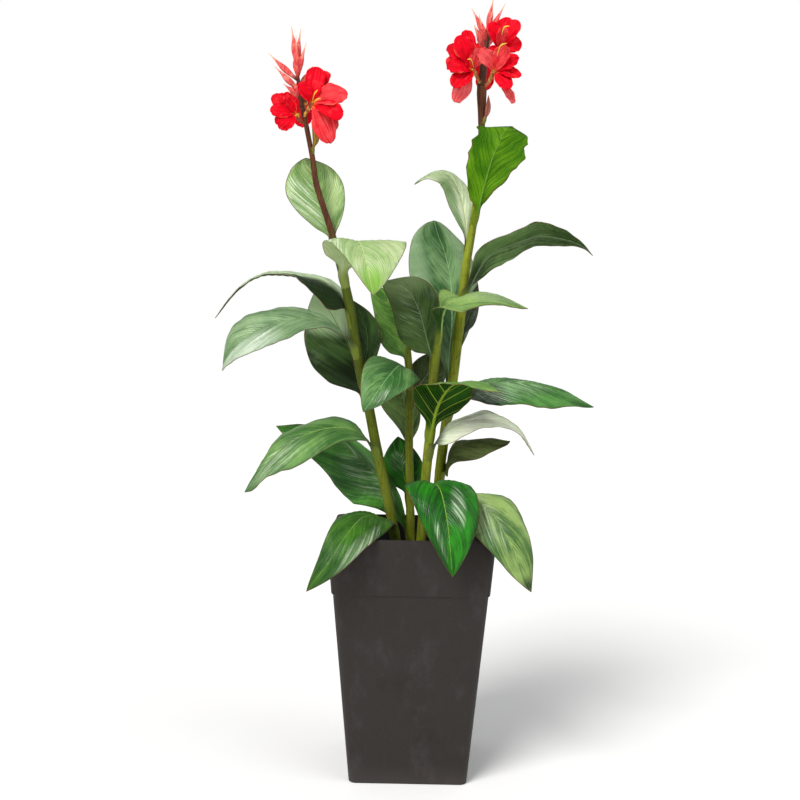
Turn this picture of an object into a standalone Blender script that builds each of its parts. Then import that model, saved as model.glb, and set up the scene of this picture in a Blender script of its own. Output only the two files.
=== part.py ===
"""A canna lily plant with two flower heads, standing in soil in a tall tapered square planter."""

import math
import random

import bmesh
import bpy
from mathutils import Matrix, Vector

# Sizes in metres
MM = 0.001
GAP = 0.0003
PLANTER_HALF_TOP = 0.175
PLANTER_HALF_BAND = 0.165
PLANTER_HALF_BODY = 0.1618
PLANTER_HALF_BASE = 0.125
PLANTER_HEIGHT = 0.525
BAND_BOTTOM = 0.408
BAND_STEP = 0.0025
WALL = 0.007
FLOOR = 0.008
CORNER_RADIUS = 0.016
SOIL_TOP = 0.446
BLADE = 0.0011
RIB_THICK = 0.0032
SHEATH_ROOM = 0.0022
PETAL = 0.0011
ROW_EASE = 1.25

# Colours and roughness
PLANTER_COLOUR = ((0.042, 0.034, 0.030, 1), 0.62)
SOIL_COLOUR = ((0.030, 0.019, 0.012, 1), 0.95)
STEM_COLOUR = ((0.150, 0.190, 0.020, 1), 0.42)
DARK_LEAF = ((0.014, 0.065, 0.018, 1), 0.33)
MID_LEAF = ((0.050, 0.170, 0.045, 1), 0.33)
GREY_LEAF = ((0.085, 0.190, 0.080, 1), 0.35)
PALE_LEAF = ((0.270, 0.440, 0.190, 1), 0.35)
BRIGHT_LEAF = ((0.085, 0.300, 0.015, 1), 0.33)
PETAL_COLOUR = ((0.800, 0.010, 0.025, 1), 0.45)
BUD_COLOUR = ((0.700, 0.150, 0.090, 1), 0.45)
BRACT_COLOUR = ((0.350, 0.160, 0.080, 1), 0.50)

# Each stem's centre line and radius, in millimetres, from the soil up
STEMS = {
    "stem_left": [
        (-20, 2, 368, 11), (-26, 1, 430, 11), (-34, 0, 495, 11), (-53, 0, 584, 11), (-72, 0, 663, 11),
        (-84, 0, 716, 10.5), (-96, 0, 776, 10.5), (-110, 0, 837, 10.5), (-124, 0, 895, 10),
        (-139, 0, 991, 10), (-160, 0, 1078, 9), (-183, 0, 1161, 7.5), (-201, 0, 1215, 6.5),
        (-222, 0, 1276, 6), (-231, 0, 1336, 5.5), (-245, 0, 1403, 5.5), (-254, 0, 1440, 5),
    ],
    "stem_centre": [
        (6, 48, 368, 9.5), (2, 50, 430, 9.5), (-1, 50, 500, 9.5), (-4, 50, 578, 9), (-8, 50, 691, 8.5),
        (-9, 50, 804, 8), (-10, 50, 872, 7.5), (-14, 50, 922, 6),
    ],
    "stem_young": [
        (14, -34, 368, 10), (17, -38, 430, 10), (21, -40, 503, 10), (28, -40, 630, 10), (35, -40, 721, 10),
        (38, -40, 808, 9.5), (43, -40, 873, 9), (50, -40, 936, 7.5), (53, -40, 958, 5.5),
    ],
    "stem_right": [
        (50, 16, 368, 11), (53, 18, 430, 11), (56, 20, 493, 11), (59, 20, 623, 11), (71, 20, 740, 10.5),
        (81, 20, 807, 10.5), (89, 20, 874, 10.5), (102, 20, 1007, 10.5), (111, 20, 1106, 9),
        (123, 20, 1183, 8), (132, 20, 1249, 8), (138, 20, 1330, 8), (139, 20, 1400, 6.5),
        (139, 20, 1450, 9), (138, 20, 1478, 11), (138, 20, 1497, 10.5),
    ],
}

# Each leaf: its stem, the heights of its sheath, its midrib after the sheath, the left and right
# half widths near the base and near the tip, where it is widest, its hollow across, and its waves.
# All lengths are in millimetres; left and right are seen along the leaf with its upper face up.
LEAVES = {
    "leaf_left_upright": dict(
        stem="stem_left", foot=(1118, 1150), colour=PALE_LEAF,
        rib=[(-191, 20, 1176), (-210, 40, 1240), (-228, 55, 1305), (-250, 50, 1342)],
        left=[(-84, -10, 4), (-76, -6, 10)], right=[(56, -12, 18), (50, -14, 18)],
        peak=0.58, cup=5, wave=(3, 2.0, 1)),
    "leaf_left_pale": dict(
        stem="stem_left", foot=(1042, 1080), colour=PALE_LEAF,
        rib=[(-143, -42, 1120), (-123, -100, 1141), (-104, -160, 1096), (-86, -186, 1022)],
        left=[(100, 2, -4), (98, 0, 0)], right=[(-70, 0, 2), (-56, 0, 4)],
        peak=0.42, cup=4, wave=(2, 1.5, 2)),
    "leaf_left_arching": dict(
        stem="stem_left", foot=(950, 988), colour=GREY_LEAF,
        rib=[(-163, 5, 1030), (-200, 10, 1062), (-256, 20, 1074), (-336, 30, 1077), (-392, 35, 1048),
             (-447, 35, 981)],
        left=[(-8, -42, -56), (2, -40, -3)], right=[(4, 50, 14), (4, 44, 12)],
        peak=0.34, cup=4, turn=(0.20, 0.42), wave=(2, 2.5, 3)),
    "leaf_left_glossy": dict(
        stem="stem_left", foot=(886, 918), out=(-0.85, -0.5), colour=MID_LEAF,
        rib=[(-156, -24, 948), (-200, -48, 974), (-267, -70, 975), (-332, -85, 952), (-376, -90, 918),
             (-404, -95, 873)],
        left=[(-4, -40, -20), (-8, -40, -48)], right=[(4, 46, 18), (-12, 44, 40)],
        peak=0.62, blunt=0.5, cup=7, turn=(0.20, 0.45), wave=(3, 2.0, 4)),
    "leaf_left_broad": dict(
        stem="stem_left", foot=(770, 806), colour=DARK_LEAF,
        rib=[(-127, 38, 850), (-145, 66, 914), (-178, 80, 975), (-205, 86, 1021), (-223, 84, 1056)],
        left=[(-104, -12, -8), (-84, -6, -16)], right=[(52, -6, 4), (54, -6, 20)],
        peak=0.48, cup=7, wave=(4, 2.5, 5)),
    "leaf_left_behind": dict(
        stem="stem_left", foot=(815, 850), colour=DARK_LEAF,
        rib=[(-109, 26, 890), (-104, 30, 938), (-117, 33, 987), (-138, 34, 1024)],
        left=[(-34, 3, -6), (-30, 2, -8)], right=[(30, -4, 10), (30, -4, 14)],
        peak=0.45, cup=3, wave=(2, 2.5, 6)),
    "leaf_centre_drooping": dict(
        stem="stem_centre", foot=(820, 850), colour=MID_LEAF,
        rib=[(-14, 18, 872), (-34, -12, 880), (-55, -50, 858), (-76, -72, 828), (-107, -90, 782)],
        left=[(46, -14, -36), (30, -10, -30)], right=[(-58, 8, 22), (-52, 6, 26)],
        peak=0.46, cup=5, wave=(2, 2.0, 7)),
    "leaf_young_broad": dict(
        stem="stem_young", foot=(856, 892), colour=GREY_LEAF,
        rib=[(27, -16, 938), (6, 0, 1010), (-25, 10, 1053), (-74, 15, 1066)],
        left=[(-58, 10, -32), (-42, 4, -52)], right=[(44, -4, 18), (40, 0, 34)],
        peak=0.52, cup=6, wave=(3, 2.5, 8)),
    "leaf_centre_upright": dict(
        stem="stem_centre", foot=(858, 890), colour=BRIGHT_LEAF,
        rib=[(-28, 66, 928), (-40, 66, 983), (-66, 66, 1028), (-100, 60, 1057)],
        left=[(-50, -10, -22), (-40, -10, -30)], right=[(50, 8, 20), (40, 6, 30)],
        peak=0.50, cup=5, wave=(2.5, 2.5, 9)),
    "leaf_right_tall": dict(
        stem="stem_right", foot=(800, 830), colour=GREY_LEAF,
        rib=[(78, 52, 890), (84, 66, 986), (80, 84, 1077), (66, 92, 1141), (50, 94, 1180), (40, 90, 1213)],
        left=[(-84, -14, -6), (-92, -10, -4)], right=[(74, -6, 4), (58, -8, 6)],
        peak=0.66, blunt=0.6, cup=8, wave=(4, 2.5, 10)),
    "leaf_young_bright": dict(
        stem="stem_young", foot=(922, 948), colour=BRIGHT_LEAF,
        rib=[(62, -54, 998), (84, -66, 1020), (126, -82, 1036), (177, -98, 1030), (235, -106, 1005)],
        left=[(-14, 28, 74), (2, 36, 4)], right=[(-36, -22, 14), (0, -30, -32)],
        peak=0.42, cup=3, turn=(0.16, 0.40), wave=(2, 2.0, 11)),
    "leaf_right_narrow": dict(
        stem="stem_right", foot=(918, 946), out=(0.3, 1.0), colour=DARK_LEAF,
        rib=[(119, 46, 988), (131, 56, 1028), (141, 62, 1068)],
        left=[(-14, 6, 10), (-12, 4, 8)], right=[(18, -4, -8), (15, -4, -6)],
        peak=0.50, cup=2, wave=(2, 2.0, 12)),
    "leaf_right_long": dict(
        stem="stem_right", foot=(1008, 1040), colour=DARK_LEAF,
        rib=[(136, -4, 1089), (163, -18, 1128), (210, -28, 1148), (262, -36, 1165), (320, -42, 1158),
             (356, -46, 1144), (378, -48, 1124)],
        left=[(14, 46, -28), (4, 46, -20)], right=[(-28, -24, 10), (-4, -34, 30)],
        peak=0.48, cup=5, turn=(0.35, 0.60), taper=0.4, wave=(3, 2.5, 13)),
    "leaf_right_nodding": dict(
        stem="stem_right", foot=(1120, 1152), colour=GREY_LEAF,
        rib=[(108, 42, 1215), (96, 58, 1270), (71, 68, 1312), (33, 74, 1316), (-4, 72, 1294)],
        left=[(-50, -6, 14), (-20, -34, -26)], right=[(30, -8, 22), (8, 30, 8)],
        peak=0.58, blunt=0.5, cup=4, wave=(2, 2.5, 14)),
    "leaf_right_top": dict(
        stem="stem_right", foot=(1185, 1216), colour=BRIGHT_LEAF,
        rib=[(143, 4, 1262), (161, -8, 1331), (181, -10, 1378), (194, 2, 1402), (206, 24, 1412)],
        left=[(26, 2, -22), (62, 8, -32)], right=[(-46, -4, -8), (-62, 0, 2)],
        peak=0.5, blunt=0.35, cup=4, wave=(3, 2.5, 15)),
    "leaf_right_outer": dict(
        stem="stem_right", foot=(748, 782), out=(0.82, -0.55), colour=MID_LEAF,
        rib=[(108, -5, 824), (145, -20, 842), (198, -34, 849), (261, -46, 845), (324, -55, 827),
             (386, -60, 800)],
        left=[(6, 54, 10), (4, 50, 4)], right=[(-2, -40, -24), (0, -38, -50)],
        peak=0.44, blunt=0.8, cup=7, turn=(0.15, 0.40), wave=(5, 2.5, 16)),
    "leaf_young_veined": dict(
        stem="stem_young", foot=(708, 742), colour=DARK_LEAF,
        rib=[(50, -75, 792), (67, -102, 828), (86, -134, 845), (122, -178, 848), (172, -214, 832)],
        left=[(68, 24, 4), (30, 40, 4)], right=[(-62, -24, 20), (-34, -44, -8)],
        peak=0.42, cup=4, wave=(4, 2.5, 17)),
    "leaf_young_slender": dict(
        stem="stem_young", foot=(668, 700), colour=PALE_LEAF,
        rib=[(65, -52, 736), (106, -62, 762), (165, -72, 768), (218, -78, 748), (258, -82, 696)],
        left=[(6, 42, 14), (8, 38, 16)], right=[(-8, -36, -34), (-2, -32, -4)],
        peak=0.40, cup=4, wave=(3, 2.5, 18)),
    "leaf_right_striped": dict(
        stem="stem_right", foot=(616, 648), out=(1.0, -0.1), colour=DARK_LEAF,
        rib=[(84, -6, 684), (108, -14, 710), (157, -22, 722), (212, -27, 721)],
        left=[(4, 30, 14), (2, 30, 0)], right=[(-10, -24, -38), (0, -20, -44)],
        peak=0.34, blunt=0.6, cup=4, wave=(5, 2.0, 19)),
    "leaf_centre_pale": dict(
        stem="stem_centre", foot=(776, 806), out=(0.2, 1.0), colour=PALE_LEAF,
        rib=[(14, 74, 838), (44, 84, 880), (72, 88, 905), (92, 88, 914)],
        left=[(-34, 0, 30), (-24, 0, 26)], right=[(38, -4, -32), (30, -4, -20)],
        peak=0.48, cup=3, wave=(2, 2.0, 20)),
    "leaf_centre_behind": dict(
        stem="stem_centre", foot=(656, 690), colour=DARK_LEAF,
        rib=[(-14, 80, 746), (-24, 90, 796), (-40, 94, 842)],
        left=[(-34, -8, 0), (-52, -8, -4)], right=[(44, -10, -4), (32, -8, 6)],
        peak=0.64, cup=4, wave=(4, 2.0, 21)),
    "leaf_left_low": dict(
        stem="stem_left", foot=(664, 698), out=(-0.80, -0.52), colour=MID_LEAF,
        rib=[(-116, -30, 730), (-152, -45, 745), (-205, -60, 739), (-257, -70, 716), (-309, -76, 672),
             (-358, -78, 606)],
        left=[(-2, -42, -30), (-10, -40, -58)], right=[(2, 52, 24), (-10, 44, 22)],
        peak=0.50, cup=7, turn=(0.15, 0.40), wave=(5, 2.5, 22)),
    "leaf_centre_low": dict(
        stem="stem_centre", foot=(470, 500), out=(-0.9, 0.4), colour=DARK_LEAF,
        rib=[(-33, 48, 562), (-62, 38, 613), (-113, 42, 663), (-171, 46, 706), (-244, 52, 730),
             (-310, 56, 740)],
        left=[(-26, -16, -22), (-40, -28, -70)], right=[(10, 12, 30), (8, 36, 26)],
        peak=0.42, cup=5, turn=(0.15, 0.40), wave=(5, 2.5, 23)),
    "leaf_centre_inner": dict(
        stem="stem_centre", foot=(556, 586), colour=DARK_LEAF,
        rib=[(-17, 80, 622), (-26, 90, 662), (-34, 92, 718)],
        left=[(-50, -8, 0), (-42, -8, 0)], right=[(50, -8, 8), (44, -8, 10)],
        peak=0.50, cup=4, wave=(3, 2.0, 24)),
    "leaf_planter_left": dict(
        stem="stem_left", foot=(486, 520), colour=MID_LEAF,
        rib=[(-73, -60, 556), (-104, -130, 563), (-134, -198, 536), (-168, -224, 484), (-208, -230, 430)],
        left=[(52, -26, -22), (42, -8, -30)], right=[(-40, 26, 4), (-36, 6, 14)],
        peak=0.46, cup=6, wave=(4, 2.0, 25)),
    "leaf_planter_front": dict(
        stem="stem_young", foot=(560, 594), colour=MID_LEAF,
        rib=[(36, -88, 622), (46, -132, 637), (58, -185, 626), (69, -226, 577), (76, -242, 520),
             (81, -246, 468)],
        left=[(60, 6, 2), (74, 10, 12)], right=[(-56, 4, -2), (-58, 8, 6)],
        peak=0.50, cup=10, wave=(3, 2.0, 26)),
    "leaf_planter_right": dict(
        stem="stem_right", foot=(520, 554), colour=MID_LEAF,
        rib=[(93, -45, 594), (128, -105, 606), (160, -162, 585), (185, -192, 551), (210, -208, 506),
             (241, -212, 433)],
        left=[(56, 26, 4), (50, 14, 18)], right=[(-44, -20, -34), (-46, -14, -30)],
        peak=0.50, cup=7, wave=(5, 3.0, 27)),
    "bract_left": dict(
        stem="stem_left", foot=(1338, 1352), colour=BRACT_COLOUR,
        rib=[(-224, -8, 1368), (-226, -12, 1388), (-232, -14, 1408)],
        left=[(6, 1, 0), (5, 1, 0)], right=[(-5, -1, 0), (-4, -1, 0)],
        peak=0.45, cup=1, wrap=38, wave=(0.5, 1.0, 28)),
    "bract_right": dict(
        stem="stem_right", foot=(1412, 1426), colour=BRACT_COLOUR,
        rib=[(150, 10, 1438), (152, 6, 1456), (152, 4, 1474)],
        left=[(7, 3, 0), (6, 3, 0)], right=[(-6, -3, 0), (-5, -3, 0)],
        peak=0.45, cup=1, wrap=38, wave=(0.5, 1.0, 29)),
}

# Each head: the axis, then its buds from the axis to the tip, in millimetres
HEADS = {
    "buds_left": dict(
        axis=[(-255, 0, 1443, 4.6), (-260, 0, 1480, 5), (-266, 0, 1515, 4.5), (-268, 0, 1545, 3)],
        buds=[
            ((-268, 0, 1530), (-279, -4, 1614), 7.0), ((-266, 0, 1524), (-260, 6, 1612), 6.5),
            ((-264, 0, 1498), (-268, -14, 1592), 7.0), ((-264, 0, 1505), (-246, -8, 1578), 6.0),
            ((-266, 0, 1500), (-328, -6, 1555), 6.5), ((-262, 0, 1478), (-315, -10, 1527), 6.5),
            ((-258, 0, 1460), (-298, 8, 1494), 6.0), ((-258, 0, 1466), (-282, -4, 1500), 5.5),
            ((-266, 0, 1508), (-276, 34, 1572), 6.0), ((-262, 0, 1484), (-236, 34, 1540), 6.0),
        ]),
    "buds_right": dict(
        axis=[(138, 20, 1500, 9), (141, 20, 1540, 6.5), (147, 20, 1590, 5), (149, 20, 1625, 3.5)],
        buds=[
            ((148, 20, 1610), (160, 16, 1690), 6.5), ((147, 20, 1596), (112, 12, 1664), 6.5),
            ((148, 20, 1600), (186, 14, 1676), 6.0), ((147, 20, 1592), (128, 6, 1648), 6.5),
            ((148, 20, 1602), (158, 4, 1658), 6.0), ((146, 20, 1574), (118, -2, 1618), 6.0),
            ((146, 20, 1586), (120, 48, 1640), 6.0), ((146, 20, 1580), (174, 50, 1636), 6.0),
        ]),
}

# Each bloom: its throat, the foot of its tube, then petals as tip, direction the inner face looks,
# half width and curl back
BLOOMS = {
    "bloom_left_front": dict(
        throat=(-231, -16, 1445), foot=(-247, -9, 1424), petals=[
            ((-221, -24, 1520), (0, -1, 0.1), 23, 8), ((-203, -2, 1520), (0, -1, 0.2), 18, 7),
            ((-159, -34, 1466), (-0.2, -1, 0.3), 27, 8), ((-167, -54, 1413), (0, -1, 0.4), 21, 8),
            ((-180, -30, 1390), (0, -1, 0.3), 20, 7), ((-196, -44, 1362), (0.1, -1, 0.2), 28, 8),
            ((-254, -40, 1482), (0, -1, 0.1), 13, 5),
        ]),
    "bloom_left_side": dict(
        throat=(-264, -14, 1421), foot=(-258, -9, 1410), petals=[
            ((-315, -22, 1460), (0, -1, 0.2), 17, 5), ((-316, -34, 1428), (0, -1, 0.2), 18, 5),
            ((-308, -24, 1406), (0, -1, 0.2), 17, 5), ((-297, -38, 1390), (0.1, -1, 0.2), 18, 5),
            ((-286, -36, 1462), (0, -1, 0.1), 11, 4),
        ]),
    "bloom_left_back": dict(
        throat=(-252, 24, 1456), foot=(-253, 10, 1436), petals=[
            ((-270, 60, 1505), (0, 1, 0.4), 22, 7), ((-222, 62, 1486), (0, 1, 0.4), 22, 7),
            ((-262, 66, 1420), (0, 1, 0.4), 22, 7), ((-292, 56, 1458), (0, 1, 0.4), 20, 7),
        ]),
    "bloom_right_side": dict(
        throat=(117, 0, 1527), foot=(130, 9, 1508), petals=[
            ((102, 4, 1614), (0, -1, 0.1), 17, 6), ((64, -10, 1576), (0, -1, 0.2), 17, 6),
            ((84, -24, 1590), (0, -1, 0.1), 22, 6), ((60, 6, 1552), (0, -1, 0.2), 15, 5),
            ((64, -30, 1526), (0, -1, 0.3), 22, 7), ((76, -38, 1486), (0, -1, 0.3), 22, 7),
            ((80, -14, 1458), (0.2, -1, 0.3), 19, 6), ((127, -34, 1560), (0, -1, 0.1), 14, 5),
        ]),
    "bloom_right_top": dict(
        throat=(172, -4, 1570), foot=(155, 10, 1546), petals=[
            ((154, -24, 1621), (0, -1, 0.1), 14, 5), ((190, -8, 1637), (0, -1, 0.2), 21, 6),
            ((208, -24, 1625), (-0.1, -1, 0.2), 21, 6), ((217, -16, 1582), (-0.1, -1, 0.1), 19, 6),
            ((178, -40, 1604), (0, -1, 0), 12, 4),
        ]),
    "bloom_right_low": dict(
        throat=(162, -14, 1519), foot=(150, 4, 1500), petals=[
            ((131, -52, 1554), (0, -1, 0.4), 18, 6), ((182, -52, 1560), (0, -1, 0.3), 18, 6),
            ((207, -40, 1545), (0, -1, 0.3), 19, 6), ((214, -42, 1508), (0, -1, 0.4), 15, 6),
            ((192, -46, 1480), (0, -1, 0.3), 18, 6), ((205, -24, 1453), (0.1, -1, 0.2), 10, 4),
        ]),
    "bloom_right_back": dict(
        throat=(146, 44, 1556), foot=(145, 31, 1540), petals=[
            ((124, 82, 1600), (0, 1, 0.4), 22, 7), ((182, 80, 1596), (0, 1, 0.4), 22, 7),
            ((150, 88, 1512), (0, 1, 0.4), 22, 7), ((108, 78, 1552), (0, 1, 0.4), 20, 7),
        ]),
}


def material(name, colour, roughness):
    mat = bpy.data.materials.new(name)
    mat.use_nodes = True
    shader = mat.node_tree.nodes["Principled BSDF"]
    shader.inputs["Base Color"].default_value = colour
    shader.inputs["Roughness"].default_value = roughness
    mat.diffuse_color = colour
    return mat


def finish(bm, name, look, smooth=True):
    bmesh.ops.recalc_face_normals(bm, faces=bm.faces)
    mesh = bpy.data.meshes.new(name)
    bm.to_mesh(mesh)
    bm.free()
    obj = bpy.data.objects.new(name, mesh)
    bpy.context.scene.collection.objects.link(obj)
    obj.data.materials.append(material(name + "_material", *look))
    for face in mesh.polygons:
        face.use_smooth = smooth
    return obj


def apply_modifiers(obj):
    graph = bpy.context.evaluated_depsgraph_get()
    mesh = bpy.data.meshes.new_from_object(obj.evaluated_get(graph))
    obj.modifiers.clear()
    obj.data = mesh


def drop(objects):
    for obj in objects:
        bpy.data.objects.remove(obj)


# Curves
def spline(points, count, ease=1.0):
    """Steps along a smooth curve through the points, closer at its start where ease is above 1."""
    pts = [2 * points[0] - points[1], *points, 2 * points[-1] - points[-2]]
    fine = []
    for i in range(1, len(pts) - 2):
        a, b, c, d = pts[i - 1 : i + 3]
        for k in range(16):
            u = k / 16
            bend = (2 * a - 5 * b + 4 * c - d) * u * u + (3 * b - a - 3 * c + d) * u**3
            fine.append(0.5 * (2 * b + (c - a) * u + bend))
    fine.append(points[-1].copy())
    length = [0.0]
    for p, q in zip(fine, fine[1:]):
        length.append(length[-1] + (q - p).length)
    out, j = [], 0
    for k in range(count):
        want = length[-1] * (k / (count - 1)) ** ease
        while j < len(fine) - 2 and length[j + 1] < want:
            j += 1
        span = length[j + 1] - length[j]
        out.append(fine[j].lerp(fine[j + 1], (want - length[j]) / span if span else 0))
    return out


def stem_at(name, height):
    """Centre and radius of a stem at a height, in metres."""
    rows = STEMS[name]
    for low, high in zip(rows, rows[1:]):
        if low[2] * MM <= height <= high[2] * MM:
            u = (height / MM - low[2]) / (high[2] - low[2])
            centre = Vector(low[:3]).lerp(Vector(high[:3]), u) * MM
            return centre, (low[3] + (high[3] - low[3]) * u) * MM
    raise ValueError("no such height on " + name)


def tube(bm, rows, sides):
    """A closed tube through rows of centre and radius, extruded ring by ring."""
    ring = bmesh.ops.create_circle(bm, cap_ends=True, radius=1, segments=sides)["verts"]
    flat = {vert: vert.co.copy() for vert in ring}
    face = ring[0].link_faces[0]
    for i, (centre, radius) in enumerate(rows):
        before = rows[max(i - 1, 0)][0]
        after = rows[min(i + 1, len(rows) - 1)][0]
        turn = Vector((0, 0, 1)).rotation_difference(after - before).to_matrix()
        if i:
            made = bmesh.ops.extrude_face_region(bm, geom=[face])["geom"]
            if i > 1 and face.is_valid:
                bmesh.ops.delete(bm, geom=[face], context="FACES_ONLY")
            face = next(g for g in made if isinstance(g, bmesh.types.BMFace))
            flat = {
                vert: next(flat[e.other_vert(vert)] for e in vert.link_edges if e.other_vert(vert) in flat)
                for vert in face.verts
            }
        for vert, place in flat.items():
            vert.co = centre + turn @ (place * radius)


# Blades
def profile(t, peak, blunt=0.85):
    warped = t ** (math.log(0.5) / math.log(peak))
    power = blunt if t > peak else 0.85
    return max(math.sin(math.pi * warped), 0) ** power


def clear_of_stem(name, point):
    """Moves a point that falls in a stem straight out of it."""
    rows = STEMS[name]
    if not rows[0][2] * MM < point.z < (rows[-1][2] + 4) * MM:
        return point
    centre, radius = stem_at(name, min(point.z, rows[-1][2] * MM))
    away = Vector((point.x - centre.x, point.y - centre.y, 0))
    room = radius + SHEATH_ROOM + BLADE / 2
    if away.length >= room:
        return point
    return Vector((centre.x, centre.y, point.z)) + away.normalized() * room


def smooth_step(t):
    t = min(max(t, 0), 1)
    return t * t * (3 - 2 * t)


def leaf_frame(leaf, count):
    """The midrib's points and directions, with where the sheath ends along it."""
    z0, z1 = leaf["foot"][0] * MM, leaf["foot"][1] * MM
    free = [Vector(p) * MM for p in leaf["rib"]]
    centre, radius = stem_at(leaf["stem"], z1)
    out = Vector((*leaf["out"], 0)) if "out" in leaf else free[0] - centre
    out.z = 0
    out.normalize()
    points = []
    for z in (z0, z1):
        centre, radius = stem_at(leaf["stem"], z)
        points.append(centre + out * (radius + SHEATH_ROOM + BLADE / 2))
    rib = spline(points + free, count, ROW_EASE)
    total = sum((b - a).length for a, b in zip(rib, rib[1:]))
    return rib, out, (z1 - z0) / total, radius


def leaf_point(leaf, rib, i, s, out, split, radius):
    """One point of a leaf's middle surface, by row and by place across."""
    count = len(rib)
    here = rib[i]
    tangent = (rib[min(i + 1, count - 1)] - rib[max(i - 1, 0)]).normalized()
    t = max(((i / (count - 1)) ** ROW_EASE - split) / (1 - split), 0)
    start, end = leaf.get("turn", (0.30, 0.70))
    mix = min(max((t - start) / (end - start), 0), 1)
    side = leaf["right"] if s > 0 else leaf["left"]
    offset = Vector(side[0]).lerp(Vector(side[1]), mix) * MM
    across = Vector(leaf["right"][0]).lerp(Vector(leaf["right"][1]), mix)
    across -= Vector(leaf["left"][0]).lerp(Vector(leaf["left"][1]), mix)
    up = across.cross(tangent).normalized()
    width = max(profile(t, leaf["peak"], leaf.get("blunt", 0.85)) * (1 - leaf.get("taper", 0) * t**4), 0.035)
    a = abs(s)
    size, waves, seed = leaf["wave"]
    phase = random.Random(seed * 7 + (1 if s > 0 else 2)).random()
    lift = leaf["cup"] * width * 4 * a * (1 - a)
    lift += size * math.sin(2 * math.pi * (waves * t + phase)) * a * a * math.sqrt(width)
    blade = here + offset * (width * a) + up * (lift * MM)
    right = out.cross(tangent).normalized()
    inward = right.cross(tangent).normalized()
    angle = s * math.radians(leaf.get("wrap", 80) * (1 - 0.25 * smooth_step(t * 12)))
    bend = radius + SHEATH_ROOM
    arc = here + right * (bend * math.sin(angle)) + inward * (bend * (1 - math.cos(angle)))
    return clear_of_stem(leaf["stem"], arc.lerp(blade, smooth_step(t / 0.18)))


def sheet(name, rows, columns, place, look, thick, weight):
    """A waved sheet from a grid, split into triangles, then given its thickness."""
    bm = bmesh.new()
    bmesh.ops.create_grid(bm, x_segments=columns, y_segments=rows, size=1)
    for vert in bm.verts:
        vert.co = place(round((vert.co.y + 1) / 2 * rows), vert.co.x)
    bmesh.ops.triangulate(bm, faces=bm.faces, quad_method="ALTERNATE")
    mesh = bpy.data.meshes.new(name)
    bm.to_mesh(mesh)
    bm.free()
    obj = bpy.data.objects.new(name, mesh)
    bpy.context.scene.collection.objects.link(obj)
    group = obj.vertex_groups.new(name="rib")
    for vert in mesh.vertices:
        row, column = divmod(vert.index, columns + 1)
        group.add([vert.index], weight(row, column), "REPLACE")
    solid = obj.modifiers.new("thickness", "SOLIDIFY")
    solid.thickness = thick
    solid.offset = 0
    solid.use_even_offset = False
    solid.vertex_group = "rib"
    apply_modifiers(obj)
    obj.data.materials.append(material(name + "_material", *look))
    for face in obj.data.polygons:
        face.use_smooth = True
    return obj


def make_leaf(name, leaf):
    reach = sum((Vector(b) - Vector(a)).length for a, b in zip(leaf["rib"], leaf["rib"][1:]))
    rows = 11 if reach > 130 else 8
    columns = 4 if reach > 70 else 2
    rib, out, split, radius = leaf_frame(leaf, rows + 1)

    def weight(row, column):
        t = max(((row / rows) ** ROW_EASE - split) / (1 - split), 0)
        thin = BLADE / RIB_THICK
        if column != columns // 2:
            return thin
        return thin + (1 - thin) * smooth_step((t - 0.08) * 5) * (1 - 0.75 * t) * (0.4 if columns == 2 else 1)

    return sheet(
        name, rows, columns, lambda i, s: leaf_point(leaf, rib, i, s, out, split, radius), leaf["colour"],
        RIB_THICK, weight,
    )


def make_petal(name, throat, petal, rows, columns):
    """One petal from the throat to its tip, narrow at first, then broad with a waved edge."""
    tip, look, half, curl = petal
    tip, look = Vector(tip) * MM, Vector(look).normalized()
    along = tip - throat
    right = along.cross(look).normalized()
    up = right.cross(along).normalized()
    draw = random.Random(name)
    phase, tilt = draw.random(), draw.uniform(-1, 1)

    def place(i, s):
        t = i / rows
        width = max(half * profile(0.04 + 0.86 * t, 0.62, 0.6), 2.2) * MM
        lift = up * (curl * MM * (math.sin(math.pi * t) - 0.9 * t * t))
        wave = 1.8 * MM * s * s * math.sin(2 * math.pi * (1.5 * t + phase)) * t
        turn = Matrix.Rotation(math.radians(14) * tilt * t, 3, along)
        across = turn @ right * (width * s)
        return throat + along * t + across + lift + up * (wave + 0.35 * width * s * s * (1 - 0.6 * t))

    return sheet(name, rows, columns, place, PETAL_COLOUR, PETAL, lambda row, column: 1.0)


def union(name, parts, look):
    """One closed body from several that overlap."""
    group = bpy.data.collections.new(name + "_parts")
    for obj in parts[1:]:
        group.objects.link(obj)
    body = parts[0]
    join = body.modifiers.new("join", "BOOLEAN")
    join.operation = "UNION"
    join.operand_type = "COLLECTION"
    join.collection = group
    join.solver = "EXACT"
    apply_modifiers(body)
    drop(parts[1:])
    bpy.data.collections.remove(group)
    body.name = name
    bm = bmesh.new()
    bm.from_mesh(body.data)
    bmesh.ops.remove_doubles(bm, verts=bm.verts, dist=0.000002)
    bmesh.ops.dissolve_degenerate(bm, edges=bm.edges, dist=0.000002)
    bmesh.ops.triangulate(bm, faces=bm.faces)
    bm.to_mesh(body.data)
    bm.free()
    body.data.materials.clear()
    body.data.materials.append(material(name + "_material", *look))
    for face in body.data.polygons:
        face.material_index = 0
        face.use_smooth = True
    return body


def make_bloom(name, bloom):
    throat, foot = Vector(bloom["throat"]) * MM, Vector(bloom["foot"]) * MM
    bm = bmesh.new()
    tube(bm, [(foot, 0.0028), (foot.lerp(throat, 0.6), 0.0042), (throat + (throat - foot) * 0.25, 0.006)], 7)
    parts = [finish(bm, name + "_tube", PETAL_COLOUR)]
    for k, petal in enumerate(bloom["petals"]):
        parts.append(make_petal(f"{name}_petal_{k}", throat, petal, 5, 2))
    return union(name, parts, PETAL_COLOUR)


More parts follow.
